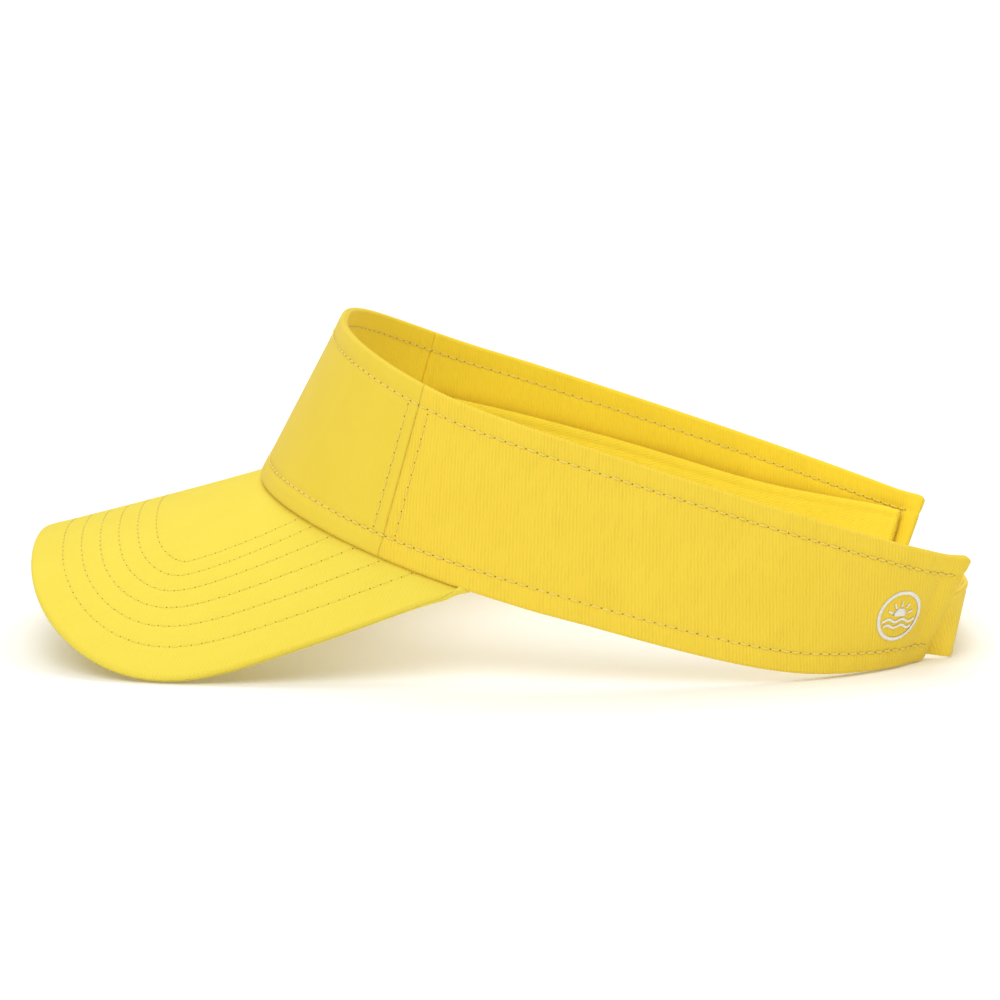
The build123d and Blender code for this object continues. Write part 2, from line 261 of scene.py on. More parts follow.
def install(piece: bpy.types.Object, body: Body | None, slot: str, *replaced: str) -> None:
    """Let a piece ride on a body and hide the CAD nodes it stands for.

    Args:
        piece: The piece.
        body: Body that it rides on, or None to leave the piece unattached.
        slot: Material slot of the record; not used.
        replaced: CAD nodes that it stands for.
    """
    if body is not None:
        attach(piece, body.value)
    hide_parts(*replaced)
    LOG.info("%s: %d faces", piece.name, len(piece.data.polygons))


def new_material(name: str) -> tuple[bpy.types.Material, bpy.types.NodeTree]:
    """Make an empty node material and return it with its tree."""
    material = bpy.data.materials.new(name)
    material.use_nodes = True
    material.node_tree.nodes.clear()
    return material, material.node_tree


# ---------------------------------------------------------------- materials


def add_node(tree: bpy.types.NodeTree, kind: str, inputs: dict | None = None, **settings) -> bpy.types.Node:
    """Add a shader node.

    Args:
        tree: Node tree that receives it.
        kind: Blender's name of the node type.
        inputs: Input name or number to a value or to an output socket.
        settings: Attributes to set on the node.

    Returns:
        The node.
    """
    node = tree.nodes.new(kind)
    for key, value in settings.items():
        setattr(node, key, value)
    for key, value in (inputs or {}).items():
        if isinstance(value, bpy.types.NodeSocket):
            tree.links.new(value, node.inputs[key])
        else:
            node.inputs[key].default_value = value
    return node


@dataclass(frozen=True)
class Twill:
    """Cotton twill, piece-dyed: slanted ribs from the weave, a soft matt face with a faint sheen."""

    name: str
    colour: str
    shade: str
    rib_pitch: float = 0.95 * MM
    rib_slant: float = 12.0
    rib_depth: float = 0.06 * MM
    rib_shade: float = 0.24
    waver: float = 4.5
    waver_scale: float = 260.0
    yarn_scale: float = 1900.0
    yarn_stretch: float = 0.28
    patch_scale: float = 520.0
    mottle_scale: float = 70.0
    mottle_shade: float = 0.22
    fuzz_depth: float = 0.03 * MM
    roughness: float = 0.85
    sheen: float = 0.08
    specular: float = 0.18

    def build(self) -> bpy.types.Material:
        """Make the material: rib and fuzz heights on the cloth's own UV map drive colour and bump."""
        material, tree = new_material(self.name)
        place = add_node(tree, "ShaderNodeUVMap", uv_map="cloth").outputs[0]
        split = add_node(tree, "ShaderNodeSeparateXYZ", {0: place})
        slant = math.radians(self.rib_slant)
        turn = 2 * math.pi / self.rib_pitch
        across = add_node(tree, "ShaderNodeMath", {0: split.outputs[0], 1: turn * math.cos(slant)},
                          operation="MULTIPLY")
        waver = add_node(tree, "ShaderNodeTexNoise", {"Vector": place, "Scale": self.waver_scale, "Detail": 2.0})
        wavered = add_node(tree, "ShaderNodeMath", {0: waver.outputs[0], 1: self.waver, 2: across.outputs[0]},
                           operation="MULTIPLY_ADD")
        phase = add_node(tree, "ShaderNodeMath",
                         {0: split.outputs[1], 1: turn * math.sin(slant), 2: wavered.outputs[0]},
                         operation="MULTIPLY_ADD")
        rib = add_node(tree, "ShaderNodeMath", {0: phase.outputs[0]}, operation="SINE")
        stretch = add_node(tree, "ShaderNodeMapping", {"Vector": place, "Scale": (1.0, self.yarn_stretch, 1.0)})
        yarn = add_node(tree, "ShaderNodeTexNoise",
                        {"Vector": stretch.outputs[0], "Scale": self.yarn_scale, "Detail": 3.0,
                         "Roughness": 0.65})
        patch = add_node(tree, "ShaderNodeTexNoise",
                         {"Vector": stretch.outputs[0], "Scale": self.patch_scale, "Detail": 1.0})
        gain = add_node(tree, "ShaderNodeMapRange", {0: patch.outputs[0], 1: 0.3, 2: 0.7, 3: 0.05, 4: 0.9})
        broken = add_node(tree, "ShaderNodeMath", {0: rib.outputs[0], 1: gain.outputs[0]}, operation="MULTIPLY")
        mottle = add_node(tree, "ShaderNodeTexNoise", {"Vector": place, "Scale": self.mottle_scale, "Detail": 3.0})
        darker = add_node(tree, "ShaderNodeMapRange",
                          {0: broken.outputs[0], 1: -0.6, 2: 0.6, 3: self.rib_shade, 4: 0.0})
        blotch = add_node(tree, "ShaderNodeMath",
                          {0: mottle.outputs[0], 1: self.mottle_shade, 2: darker.outputs[0]},
                          operation="MULTIPLY_ADD")
        colour = add_node(tree, "ShaderNodeMix", {"Factor": blotch.outputs[0]}, data_type="RGBA")
        colour.inputs[6].default_value = linear(self.colour)
        colour.inputs[7].default_value = linear(self.shade)
        rib_bump = add_node(tree, "ShaderNodeBump",
                            {"Height": broken.outputs[0], "Distance": self.rib_depth, "Strength": 1.0})
        fuzz_bump = add_node(tree, "ShaderNodeBump", {"Height": yarn.outputs[0], "Distance": self.fuzz_depth,
                                                      "Strength": 1.0, "Normal": rib_bump.outputs[0]})
        shader = add_node(tree, "ShaderNodeBsdfPrincipled", {
            "Base Color": colour.outputs[2], "Roughness": self.roughness, "Specular IOR Level": self.specular,
            "Sheen Weight": self.sheen, "Sheen Roughness": 0.5, "Normal": fuzz_bump.outputs[0]})
        add_node(tree, "ShaderNodeOutputMaterial", {"Surface": shader.outputs[0]})
        return material


@dataclass(frozen=True)
class Yarn:
    """Twisted sewing or embroidery thread: fine slanted plies that catch a little light."""

    name: str
    colour: str
    roughness: float = 0.55
    sheen: float = 0.25
    ply_pitch: float = 0.45 * MM
    ply_depth: float = 0.04 * MM

    def build(self) -> bpy.types.Material:
        """Make the material: slanted plies along the thread as a bump."""
        material, tree = new_material(self.name)
        place = add_node(tree, "ShaderNodeUVMap", uv_map="cloth").outputs[0]
        split = add_node(tree, "ShaderNodeSeparateXYZ", {0: place})
        along = add_node(tree, "ShaderNodeMath", {0: split.outputs[0], 1: 2 * math.pi / self.ply_pitch},
                         operation="MULTIPLY")
        phase = add_node(tree, "ShaderNodeMath", {0: split.outputs[1], 1: 2 * math.pi, 2: along.outputs[0]},
                         operation="MULTIPLY_ADD")
        ply = add_node(tree, "ShaderNodeMath", {0: phase.outputs[0]}, operation="SINE")
        bump = add_node(tree, "ShaderNodeBump", {"Height": ply.outputs[0], "Distance": self.ply_depth,
                                                 "Strength": 1.0})
        shader = add_node(tree, "ShaderNodeBsdfPrincipled", {
            "Base Color": linear(self.colour), "Roughness": self.roughness, "Sheen Weight": self.sheen,
            "Specular IOR Level": 0.35, "Normal": bump.outputs[0]})
        add_node(tree, "ShaderNodeOutputMaterial", {"Surface": shader.outputs[0]})
        return material


@dataclass(frozen=True)
class Plain:
    """A plain moulded or felted surface with a fine grain."""

    name: str
    colour: str
    roughness: float = 0.6
    grain: float = 900.0
    depth: float = 0.05 * MM
    glow: float = 0.0

    def build(self) -> bpy.types.Material:
        """Make the material: one colour with a fine noise bump on Object coordinates."""
        material, tree = new_material(self.name)
        place = add_node(tree, "ShaderNodeTexCoord").outputs["Object"]
        grain = add_node(tree, "ShaderNodeTexNoise", {"Vector": place, "Scale": self.grain, "Detail": 3.0})
        bump = add_node(tree, "ShaderNodeBump", {"Height": grain.outputs[0], "Distance": self.depth})
        shader = add_node(tree, "ShaderNodeBsdfPrincipled", {
            "Base Color": linear(self.colour), "Roughness": self.roughness, "Normal": bump.outputs[0],
            "Emission Color": linear(self.colour), "Emission Strength": self.glow})
        add_node(tree, "ShaderNodeOutputMaterial", {"Surface": shader.outputs[0]})
        return material


@dataclass(frozen=True)
class Finishes:
    """Every finish of the visor."""

    # Cotton twill stretched over the board: a clean, even matt yellow with barely visible diagonals.
    bill: Twill = Twill("bill_twill", "#EBD853", "#DBBC30", rib_slant=48.0, rib_depth=0.035 * MM, rib_shade=0.14,
                        specular=0.12, sheen=0.05)
    # Cotton twill fused to buckram: pressed almost flat, a little duller.
    front: Twill = Twill("front_twill", "#E9CE45", "#D2AC29", rib_depth=0.015 * MM, rib_shade=0.05,
                         fuzz_depth=0.015 * MM)
    # Cotton twill at the sides: upright broken ribs that catch the light.
    side: Twill = Twill("side_twill", "#F1D346", "#D2AA23")
    # Cotton twill lining: its yellow cloth colour, raised brighter and deeper as painted light on the inside of
    # the far wall; softer ribs.
    lining: Twill = Twill("lining_twill", "#F9DA38", "#DDB31F", rib_slant=-12.0, rib_depth=0.05 * MM,
                          rib_shade=0.15)
    # Cotton twill over soft padding: strong slanted ribs; its yellow cloth colour is raised brighter as painted
    # light on the inside of the far wall.
    sweatband: Twill = Twill("sweatband_twill", "#FBE040", "#DDB520", rib_slant=62.0, rib_pitch=0.85 * MM)
    # Woven twill strap: low slanted ribs.
    webbing: Twill = Twill("strap_twill", "#F6D84E", "#DAB22A", rib_slant=30.0, rib_shade=0.2)
    # Spun polyester sewing thread: paler than the cloth, a slight twist.
    thread: Yarn = Yarn("sewing_thread", "#F3DB68")
    # The rows on the bill: drawn nearer in colour to the cloth round them.
    bill_thread: Yarn = Yarn("bill_sewing_thread", "#F0DE58")
    # Needle holes: painted shade, a dark cloth colour on small lenses at the bottom of each stitch.
    hole: Plain = Plain("needle_hole", "#A07C10", roughness=1.0)
    bill_hole: Plain = Plain("bill_needle_hole", "#AA8A1A", roughness=1.0)
    # Satin embroidery: white with a silky light.
    white: Yarn = Yarn("satin_thread", "#F4F1EA", roughness=0.4, sheen=0.4)
    # Moulded hooks: a fine hard grain.
    hooks: Plain = Plain("hook_nylon", "#E2C03C", roughness=0.4)
    # Napped loops: a soft felt-like face.
    loops: Plain = Plain("loop_nap", "#E4BF38", roughness=0.95, grain=1600.0, depth=0.25 * MM)
    # Moulded polyethylene: smooth and off-white.
    board: Plain = Plain("board_polyethylene", "#E8E6DC", roughness=0.5)
    # Fused stiffening cloth: chalky and matt.
    buckram: Plain = Plain("buckram", "#EFEDE2", roughness=0.9)

    def build(self) -> dict[str, bpy.types.Material]:
        """Make every material, by the name of its field."""
        return {key: getattr(self, key).build() for key in self.__dataclass_fields__}


# ---------------------------------------------------------------- forms shared with the CAD model


def superellipse(angle: Array, half_width: float, front: float, rear: float, square: float,
                 rear_square: float) -> tuple[Array, Array]:
    """Plan points at angles in degrees from -Y towards +X, on a superellipse with two half-lengths."""
    turn = np.radians(angle)
    ahead = np.cos(turn) >= 0
    length = np.where(ahead, front, rear)
    power = np.where(ahead, square, rear_square)
    radius = (np.abs(np.sin(turn) / half_width) ** power + np.abs(np.cos(turn) / length) ** power) ** (-1 / power)
    return radius * np.sin(turn), -radius * np.cos(turn)


@dataclass
class Ribbon:
    """A strip of cloth between a low and a high edge line, read by a place along it and a height on it."""

    places: Array
    low: Array
    high: Array

    def __post_init__(self) -> None:
        """Work out the strip's length, height, rise and outward normal at every place."""
        middle = (self.low + self.high) / 2
        self.along = arc_lengths(middle)
        self.tall = np.linalg.norm(self.high - self.low, axis=1)
        self.rise = (self.high - self.low) / self.tall[:, None]
        tangent = np.gradient(middle, self.along, axis=0)
        self.out = unit(np.cross(tangent, self.rise))

    def height(self, p: Array) -> Array:
        """Distance from the low to the high edge at p."""
        return np.interp(p, self.places, self.tall)

    def length(self, p: Array) -> Array:
        """Distance along the strip at p."""
        return np.interp(p, self.places, self.along)

    def normal(self, p: Array) -> Array:
        """Outward normal at p."""
        return unit(lerp_rows(p, self.places, self.out))

    def place(self, p: Array, h: Array, out: Array | float = 0.0) -> Array:
        """Point at p, at a height h above the low edge and a distance out along the normal, in metres."""
        p, h, out = np.broadcast_arrays(p, h, out)
        low = lerp_rows(p, self.places, self.low)
        rise = lerp_rows(p, self.places, self.rise)
        return low + rise * h[..., None] + self.normal(p) * out[..., None]


@dataclass
class VisorForm:
    """Driving sizes of the visor, in millimetres, and the edge lines that follow from them."""

    band_half_width: float = 80.0
    band_front: float = 98.5
    band_rear: float = 98.5
    band_centre_y: float = 4.5
    band_squareness: float = 2.4
    top_half_width: float = 75.1
    top_front: float = 75.1
    top_rear: float = 125.3
    top_centre_y: float = 5.0
    top_squareness: float = 2.68
    top_rear_squareness: float = 2.416
    seam_angle: float = 47.0
    seam_top_angle: float = 51.7
    end_angle: float = 154.3
    end_top_angle: float = 152.45
    horn_angle: float = 62.6
    low_slope: float = 0.291
    low_foot_y: float = 57.2
    low_foot_blend: float = 18.6
    low_front_lift: float = 0.0008
    low_front_lift_y: float = -28.5
    top_height: float = 64.2
    top_slope: float = 0.33
    top_front_lift: float = 0.0029
    top_front_lift_y: float = -27.3
    top_rear_lift: float = 0.0102
    top_rear_lift_y: float = 95.2
    bill_length: float = 67.5
    bill_half_width: float = 77.6
    bill_widest: float = -5.0
    bill_squareness: float = 3.9
    bill_horn_narrowing: float = 1.0
    bill_pitch: float = 14.9
    bill_arch_half_width: float = 82.0
    bill_arch_depth: float = 51.9
    bill_arch_growth: float = 0.0018
    bill_crest_height: float = 46.4
    bill_seam_inset: float = 1.6
    bill_seam_drop: float = 0.25
    horn_reach: float = 9.5
    horn_tuck: float = 1.7
    back_reach: float = 13.3
    back_lean: float = 5.0

    def __post_init__(self) -> None:
        """Find the middle along Y and build the band and bill."""
        pitch = math.radians(self.bill_pitch)
        tip = self.band_centre_y - self.band_front - self.bill_length * math.cos(pitch)
        end = self.band_centre_y + float(self.low_plan(np.array([self.end_angle]))[1][0])
        self.centre_y = (tip + end + self.back_reach + self.back_lean / 2) / 2
        self.corner = self.low_edge(np.array([self.end_angle]))[0] / MM
        self.band = self.build_band()
        self.bill = self.build_bill()

    def low_plan(self, angle: Array, inset: float = 0.0) -> tuple[Array, Array]:
        """Plan of the lower edge about its centre."""
        return superellipse(angle, self.band_half_width - inset, self.band_front - inset, self.band_rear - inset,
                            self.band_squareness, self.band_squareness)

    def top_plan(self, angle: Array) -> tuple[Array, Array]:
        """Plan of the upper edge about its centre."""
        return superellipse(angle, self.top_half_width, self.top_front, self.top_rear, self.top_squareness,
                            self.top_rear_squareness)

    def low_edge(self, angle: Array, inset: float = 0.0, drop: float = 0.0) -> Array:
        """Points of the band's lower edge: a steady slope that settles flat on the table at the back."""
        x, y = self.low_plan(angle, inset)
        y = y + self.band_centre_y
        reach = self.low_foot_y - y
        foot = self.low_foot_y - self.band_centre_y - self.band_rear
        settled = math.hypot(foot, self.low_foot_blend) + foot
        lift = self.low_front_lift * np.maximum(0.0, self.low_front_lift_y - y) ** 2
        z = self.low_slope * 0.5 * (np.hypot(reach, self.low_foot_blend) + reach - settled) + lift - drop
        return np.stack([x, y - self.centre_y, z], -1) * MM

    def top_edge(self, angle: Array) -> Array:
        """Points of the band's upper edge."""
        x, y = self.top_plan(angle)
        y = y + self.top_centre_y
        z = self.top_height - self.top_slope * y
        z = z + self.top_front_lift * np.maximum(0.0, self.top_front_lift_y - y) ** 2
        z = z + self.top_rear_lift * np.maximum(0.0, y - self.top_rear_lift_y) ** 2
        return np.stack([x, y - self.centre_y, z], -1) * MM

    def build_band(self) -> Ribbon:
        """The band as one ribbon: places -2 to -1 are the right panel, -1 to 1 the front, 1 to 2 the left."""
        count = 161
        low_stops = (-self.end_angle, -self.seam_angle, self.seam_angle, self.end_angle)
        top_stops = (-self.end_top_angle, -self.seam_top_angle, self.seam_top_angle, self.end_top_angle)
        lows, highs, places = [], [], []
        for k, (first, last) in enumerate(((-2.0, -1.0), (-1.0, 1.0), (1.0, 2.0))):
            low = by_length(self.low_edge(np.linspace(low_stops[k], low_stops[k + 1], 400)), count)
            high = by_length(self.top_edge(np.linspace(top_stops[k], top_stops[k + 1], 400)), count)
            keep = slice(0, count if k == 2 else count - 1)
            lows.append(low[keep])
            highs.append(high[keep])
            places.append(np.linspace(first, last, count)[keep])
        return Ribbon(np.concatenate(places), np.concatenate(lows), np.concatenate(highs))

    def bill_face(self, x: Array, along: Array) -> Array:
        """Points of the bill's arched upper face, from the place across and the distance ahead of the crown."""
        pitch = math.radians(self.bill_pitch)
        arch = self.bill_arch_depth * (1 - np.sqrt(1 - (x / self.bill_arch_half_width) ** 2))
        drop = arch * (1 + self.bill_arch_growth * (along + 50))
        y = self.band_centre_y - self.band_front - along * math.cos(pitch) + drop * math.sin(pitch)
        z = self.bill_crest_height - along * math.sin(pitch) - drop * math.cos(pitch)
        return np.stack([x, y - self.centre_y, z], -1) * MM

    def build_bill(self) -> Ribbon:
        """The bill as a ribbon from its outer edge (low) to its seam with the band (high)."""
        front = self.bill_length - self.bill_widest
        horn_y = self.low_edge(np.array([self.horn_angle]))[0, 1] / MM + self.centre_y
        horn = (self.band_centre_y - self.band_front - horn_y) / math.cos(math.radians(self.bill_pitch))
        horn += self.horn_reach
        share = np.linspace(0, 1, 60)[1:]
        side_x = self.bill_half_width - self.bill_horn_narrowing * share**2
        side_along = self.bill_widest + (horn - self.bill_widest) * share
        x, y = superellipse(np.linspace(-90, 90, 500), self.bill_half_width, front, front,
                            self.bill_squareness, self.bill_squareness)
        across = np.concatenate([-side_x[::-1], x, side_x])
        along = np.concatenate([side_along[::-1], self.bill_widest - y, side_along])
        edge = by_length(self.bill_face(across, along), 401)
        tuck = np.clip((np.abs(np.linspace(-1, 1, 401)) - 0.955) / 0.045, 0, 1) ** 2
        edge[:, 0] -= np.sign(edge[:, 0]) * self.horn_tuck * MM * tuck
        angles = np.linspace(-self.horn_angle, self.horn_angle, 500)
        seam = by_length(self.low_edge(angles, self.bill_seam_inset, self.bill_seam_drop), 401)
        return Ribbon(np.linspace(0, 1, 401), edge, seam)


# ---------------------------------------------------------------- thread


@dataclass
class ThreadWork:
    """Stitches as short arched bars of thread, with a needle hole between each two."""

    radius: float = 0.25 * MM
    pitch: float = 3.0 * MM
    gap: float = 0.55 * MM
    arch: float = 0.16 * MM
    sink: float = 0.05 * MM
    taper: float = 0.6
    hole_radius: float = 0.22 * MM
    hole_rise: float = 0.03 * MM
    hole_depth: float = 0.2 * MM
    hole_sides: int = 6
    end_jitter: float = 0.12 * MM
    side_jitter: float = 0.07 * MM
    skew: float = 0.05 * MM
    rings: int = 7
    sides: int = 6
    seed: int = 5
    points: list = field(default_factory=list)
    faces: list = field(default_factory=list)
    uvs: list = field(default_factory=list)
    slots: list = field(default_factory=list)
    count: int = 0

    def add(self, cloud: Array, faces: Array, uv: Array, slot: int) -> None:
        """Keep a batch of equal little shapes.

        Args:
            cloud: Vertices, by shape and vertex.
            faces: Vertex numbers of the faces of one shape.
            uv: One pair per vertex.
            slot: Material slot, 0 for thread and 1 for a hole.
        """
        number, size = cloud.shape[:2]
        offset = self.count + np.arange(number)[:, None, None] * size
        self.faces.extend((faces[None] + offset).reshape(-1, faces.shape[1]).tolist())
        self.slots.append(np.full(number * len(faces), slot))
        self.uvs.append(uv.reshape(-1, 2))
        self.points.append(cloud.reshape(-1, 3))
        self.count += number * size

    def bars(self, start: Array, end: Array, normal: Array) -> None:
        """Lay one bar of thread from each start to each end.

        A bar is rings of vertices round its line. The line rises by the arch as a parabola of the place along
        it, less the sink, and the radius falls with the cube of the distance from the middle.

        Args:
            start: Where each bar starts.
            end: Where each bar ends.
            normal: The cloth's normal at each bar.
        """
        x = np.linspace(-0.5, 0.5, self.rings)
        turn = np.arange(self.sides) * 2 * math.pi / self.sides
        length = np.linalg.norm(end - start, axis=1)
        forward = (end - start) / length[:, None]
        up = unit(normal - forward * np.sum(normal * forward, axis=1, keepdims=True))
        side = np.cross(up, forward)
        centre = start[:, None] + (end - start)[:, None] * (x + 0.5)[None, :, None]
        centre = centre + up[:, None] * (self.arch * (1 - (2 * x) ** 2) - self.sink)[None, :, None]
        girth = self.radius * (1 - self.taper * np.abs(2 * x) ** 3)
        ring = side[:, None, None] * np.cos(turn)[:, None] + up[:, None, None] * np.sin(turn)[:, None]
        cloud = centre[:, :, None] + ring * girth[None, :, None, None]
        last = (self.rings - 1) * self.sides
        caps = np.array([[0, 1, 2, 3], [0, 3, 4, 5]])
        quads = np.concatenate([tube_quads(self.rings, self.sides), caps, caps[:, ::-1] + last])
        u = (x + 0.5)[None, :, None] * length[:, None, None]
        v = np.broadcast_to(np.arange(self.sides) / self.sides, cloud.shape[:3])
        uv = np.stack([np.broadcast_to(u, v.shape), v], -1)
        self.add(cloud.reshape(len(start), -1, 3), quads, uv, 0)

    def holes(self, centre: Array, normal: Array, forward: Array) -> None:
        """Press a small dark needle hole, a flat lens whose dark colour is painted shade, at each centre.

        Args:
            centre: Middle of each hole.
            normal: The cloth's normal there.
            forward: The row's direction there.
        """
        j = np.arange(self.hole_sides)
        turn = j * 2 * math.pi / self.hole_sides
        side = unit(np.cross(normal, forward))
        ahead = np.cross(side, normal)
        ring = side[:, None] * np.cos(turn)[None, :, None] + ahead[:, None] * np.sin(turn)[None, :, None]
        tip = centre + normal * self.hole_rise
        base = centre - normal * self.hole_depth
        cloud = np.concatenate([centre[:, None] + ring * self.hole_radius, tip[:, None], base[:, None]], axis=1)
        after = (j + 1) % self.hole_sides
        fan = np.concatenate([np.stack([j, after, np.full_like(j, self.hole_sides)], -1),
                              np.stack([after, j, np.full_like(j, self.hole_sides + 1)], -1)])
        self.add(cloud, fan, np.zeros((*cloud.shape[:2], 2)), 1)

    def sew(self, path: Array, normal: Array) -> None:
        """Sew evenly spaced stitches along a path.

        Args:
            path: Points of the path.
            normal: The cloth's normal at each point.
        """
        length = arc_lengths(path)
        number = max(1, int(round(length[-1] / self.pitch)))
        ends = np.linspace(0, length[-1], number + 1)
        draw = np.random.default_rng(self.seed + number)
        ends[1:-1] += draw.uniform(-1, 1, number - 1) * self.end_jitter
        start = lerp_rows(ends[:-1] + self.gap / 2, length, path)
        end = lerp_rows(ends[1:] - self.gap / 2, length, path)
        up = unit(lerp_rows((ends[:-1] + ends[1:]) / 2, length, normal))
        side = unit(np.cross(up, end - start))
        shift = draw.uniform(-1, 1, (number, 1)) * self.side_jitter
        self.bars(start + side * (shift + self.skew), end + side * (shift - self.skew), up)
        ahead, behind = (lerp_rows(np.clip(ends + step, 0, length[-1]), length, path)
                         for step in (self.pitch / 3, -self.pitch / 3))
        self.holes(lerp_rows(ends, length, path), unit(lerp_rows(ends, length, normal)), ahead - behind)

    def finish(self, name: str, thread: bpy.types.Material, hole: bpy.types.Material) -> bpy.types.Object:
        """Make the piece from all bars and holes laid so far."""
        return make_piece(name, np.concatenate(self.points), self.faces, np.concatenate(self.uvs),
                          [thread, hole], np.concatenate(self.slots), recalc=False)


# ---------------------------------------------------------------- the band


@dataclass(frozen=True)
class Cut:
    """One cloth of the band: its name, first and last place, sections, unevenness and finish."""

    name: str
    first: float
    last: float
    sections: int
    seed: int
    soft: float
    cloth: str
    slot: str = "band_twill"


@dataclass
class Band:
    """Outer panels, linings, sweatband and the rows of thread of the crown band."""

    form: VisorForm
    finish: dict[str, bpy.types.Material]
    roll: float = 0.9 * MM
    edge_row: float = 5.7 * MM
    seam_row: float = 3.5 * MM
    row_depth: float = 0.32 * MM
    row_width: float = 0.85 * MM
    stack: float = 1.95 * MM
    panel_back: float = 0.62 * MM
    turned_back: float = 1.0 * MM
    sweat_height: float = 29.0 * MM
    sweat_foot: float = 0.6 * MM
    sweat_outer: float = 2.15 * MM
    sweat_thickness: float = 2.1 * MM
    sweat_lean: float = 1.6 * MM
    sweat_row: float = 3.0 * MM
    sweat_rise: float = 1.9 * MM
    sweat_drop: float = 3.0 * MM
    root_room: float = 0.6 * MM
    end_margin: float = 3.0 * MM
    across: int = 64
    rim: float = 0.16 * MM
    corner: float = 2.0 * MM
    overlap: float = 0.35 * MM
    overlap_place: float = 1.36
    stitch_pitch: float = 3.0 * MM
    hem_swell: float = 0.22 * MM
    pucker: float = 0.035 * MM
    hem_wave: float = 0.10 * MM
    seam_depth: float = 0.30 * MM
    seam_swell: float = 0.14 * MM
    end_dip: float = 0.9 * MM
    end_swell: float = 0.35 * MM
    thread_lift: float = 0.10 * MM
    seam_gap: float = 0.0004
    row_reach: float = 1.975
    sweat_sections: int = 900
    sweat_around: int = 96
    outer_cuts: tuple[Cut, ...] = (Cut("front_panel", -1, 1, 300, 11, 0.10 * MM, "front"),
                                   Cut("left_side_panel", 1, 2, 330, 23, 0.34 * MM, "side"),
                                   Cut("right_side_panel", -2, -1, 330, 31, 0.34 * MM, "side"))
    lining_cuts: tuple[Cut, ...] = (Cut("front_lining", -1, 1, 260, 41, 0.3 * MM, "lining", "lining_twill"),
                                    Cut("left_lining", 1, 2, 280, 43, 0.5 * MM, "lining", "lining_twill"),
                                    Cut("right_lining", -2, -1, 280, 47, 0.5 * MM, "lining", "lining_twill"))

    def __post_init__(self) -> None:
        """Keep the band's ribbon at hand."""
        self.ribbon = self.form.band

    def relief(self, p: Array, h: Array, cut: Cut) -> Array:
        """How far sewing and handling lift the cloth, in metres.

        Each row of thread sinks it by a bell that beats with the stitches, and the hem outside the row swells
        as a squared sine. A seam is a narrow groove between two ridges. Slanted sine waves add soft wrinkles.

        Args:
            p: Places along the band.
            h: Heights above the lower edge.
            cut: The cloth, which sets the unevenness and the size of the broad wrinkles.

        Returns:
            The lift at each place and height.
        """
        s = self.ribbon.length(p)
        tall = self.ribbon.height(p)
        top = tall - h
        beat = 0.72 + 0.28 * np.cos(2 * math.pi * s / self.stitch_pitch)
        rows = bell(top - self.edge_row, self.row_width) + bell(h - self.edge_row, self.row_width)
        total = -self.row_depth * beat * rows
        for edge in (top, h):
            total = total + self.hem_swell * np.sin(math.pi * np.clip(edge / self.edge_row, 0, 1)) ** 2
            pucker = np.sin(2 * math.pi * s / (2.9 * MM) + 2.0 * np.sin(s / (11 * MM)))
            total = total + self.pucker * pucker * bell(edge - self.edge_row, 2.6 * MM)
            wave = ripples(s, edge * 0.3, cut.seed + 3, 9 * MM)
            total = total + self.hem_wave * wave * bell(edge - 4.0 * MM, 4.0 * MM)
            total = total + self.rim * bell(edge - 0.9 * MM, 0.8 * MM)
        clear = 1 - 0.8 * np.maximum(bell(top - self.edge_row, 1.6 * MM), bell(h - self.edge_row, 1.6 * MM))
        inside = np.clip((top - 5.0 * MM) / (2 * MM), 0, 1) * np.clip((h - 5.0 * MM) / (2 * MM), 0, 1)
        shut = 0.45 + 0.55 * inside
        for seam in (-1.0, 1.0):
            gap = np.abs(s - self.ribbon.length(np.array(seam)))
            total = total - self.seam_depth * bell(gap, 0.34 * MM) * clear * shut
            total = total + self.seam_swell * bell(gap - 1.6 * MM, 1.1 * MM) * clear * shut
            total = total - self.seam_swell * bell(gap - self.seam_row, 0.7 * MM) * inside
            dents = np.sin(2 * math.pi * h / (3.3 * MM)) * bell(gap - self.seam_row, 1.3 * MM)
            total = total + self.pucker * dents * inside
        middle = np.sin(math.pi * np.clip(h / tall, 0, 1))
        side = np.clip((np.abs(p) - 0.9) / 0.3, 0, 1)
        total = total + cut.soft * (0.25 + 0.75 * side) * middle * ripples(s, h, cut.seed, 60 * MM)
        total = total + cut.soft * 0.25 * side * ripples(s, h, cut.seed + 9, 22 * MM)
        end = self.end_distance(p)
        total = total - self.end_dip * bell(end - 8.0 * MM, 3.0 * MM) * middle
        return total + self.end_swell * bell(end - 3.5 * MM, 2.5 * MM)

    def end_distance(self, p: Array) -> Array:
        """Distance along the band from its nearer end."""
        half = self.ribbon.along[-1] / 2
        return half - np.abs(self.ribbon.length(p) - half)

    def hem_heights(self, p: Array) -> tuple[Array, Array]:
        """Heights of a section's vertices, dense at both rolled edges, and how far the roll pulls each one in."""
        turn = np.linspace(0, math.pi / 2, 7)[:-1]
        near = self.roll * (1 - np.cos(turn))
        pull = self.roll * (1 - np.sin(turn))
        tall = self.ribbon.height(p)[:, None]
        end = self.end_distance(p)[:, None]
        missing = np.maximum(self.corner - end, 0)
        trim = self.corner - np.sqrt(self.corner**2 - missing**2)
        over_bill = np.clip((self.overlap_place - np.abs(p[:, None])) / 0.08, 0, 1)
        first = trim - self.overlap * over_bill
        last = tall - trim
        middle = first + self.roll + (last - first - 2 * self.roll) * np.linspace(0, 1, self.across)[None, :]
        heights = np.concatenate([first + near[None, :], middle, last - near[None, ::-1]], axis=1)
        pulls = np.concatenate([pull, np.zeros(self.across), pull[::-1]])[None, :]
        missing = np.maximum(self.roll - end, 0)
        return heights, np.maximum(pulls, self.roll - np.sqrt(self.roll**2 - missing**2))

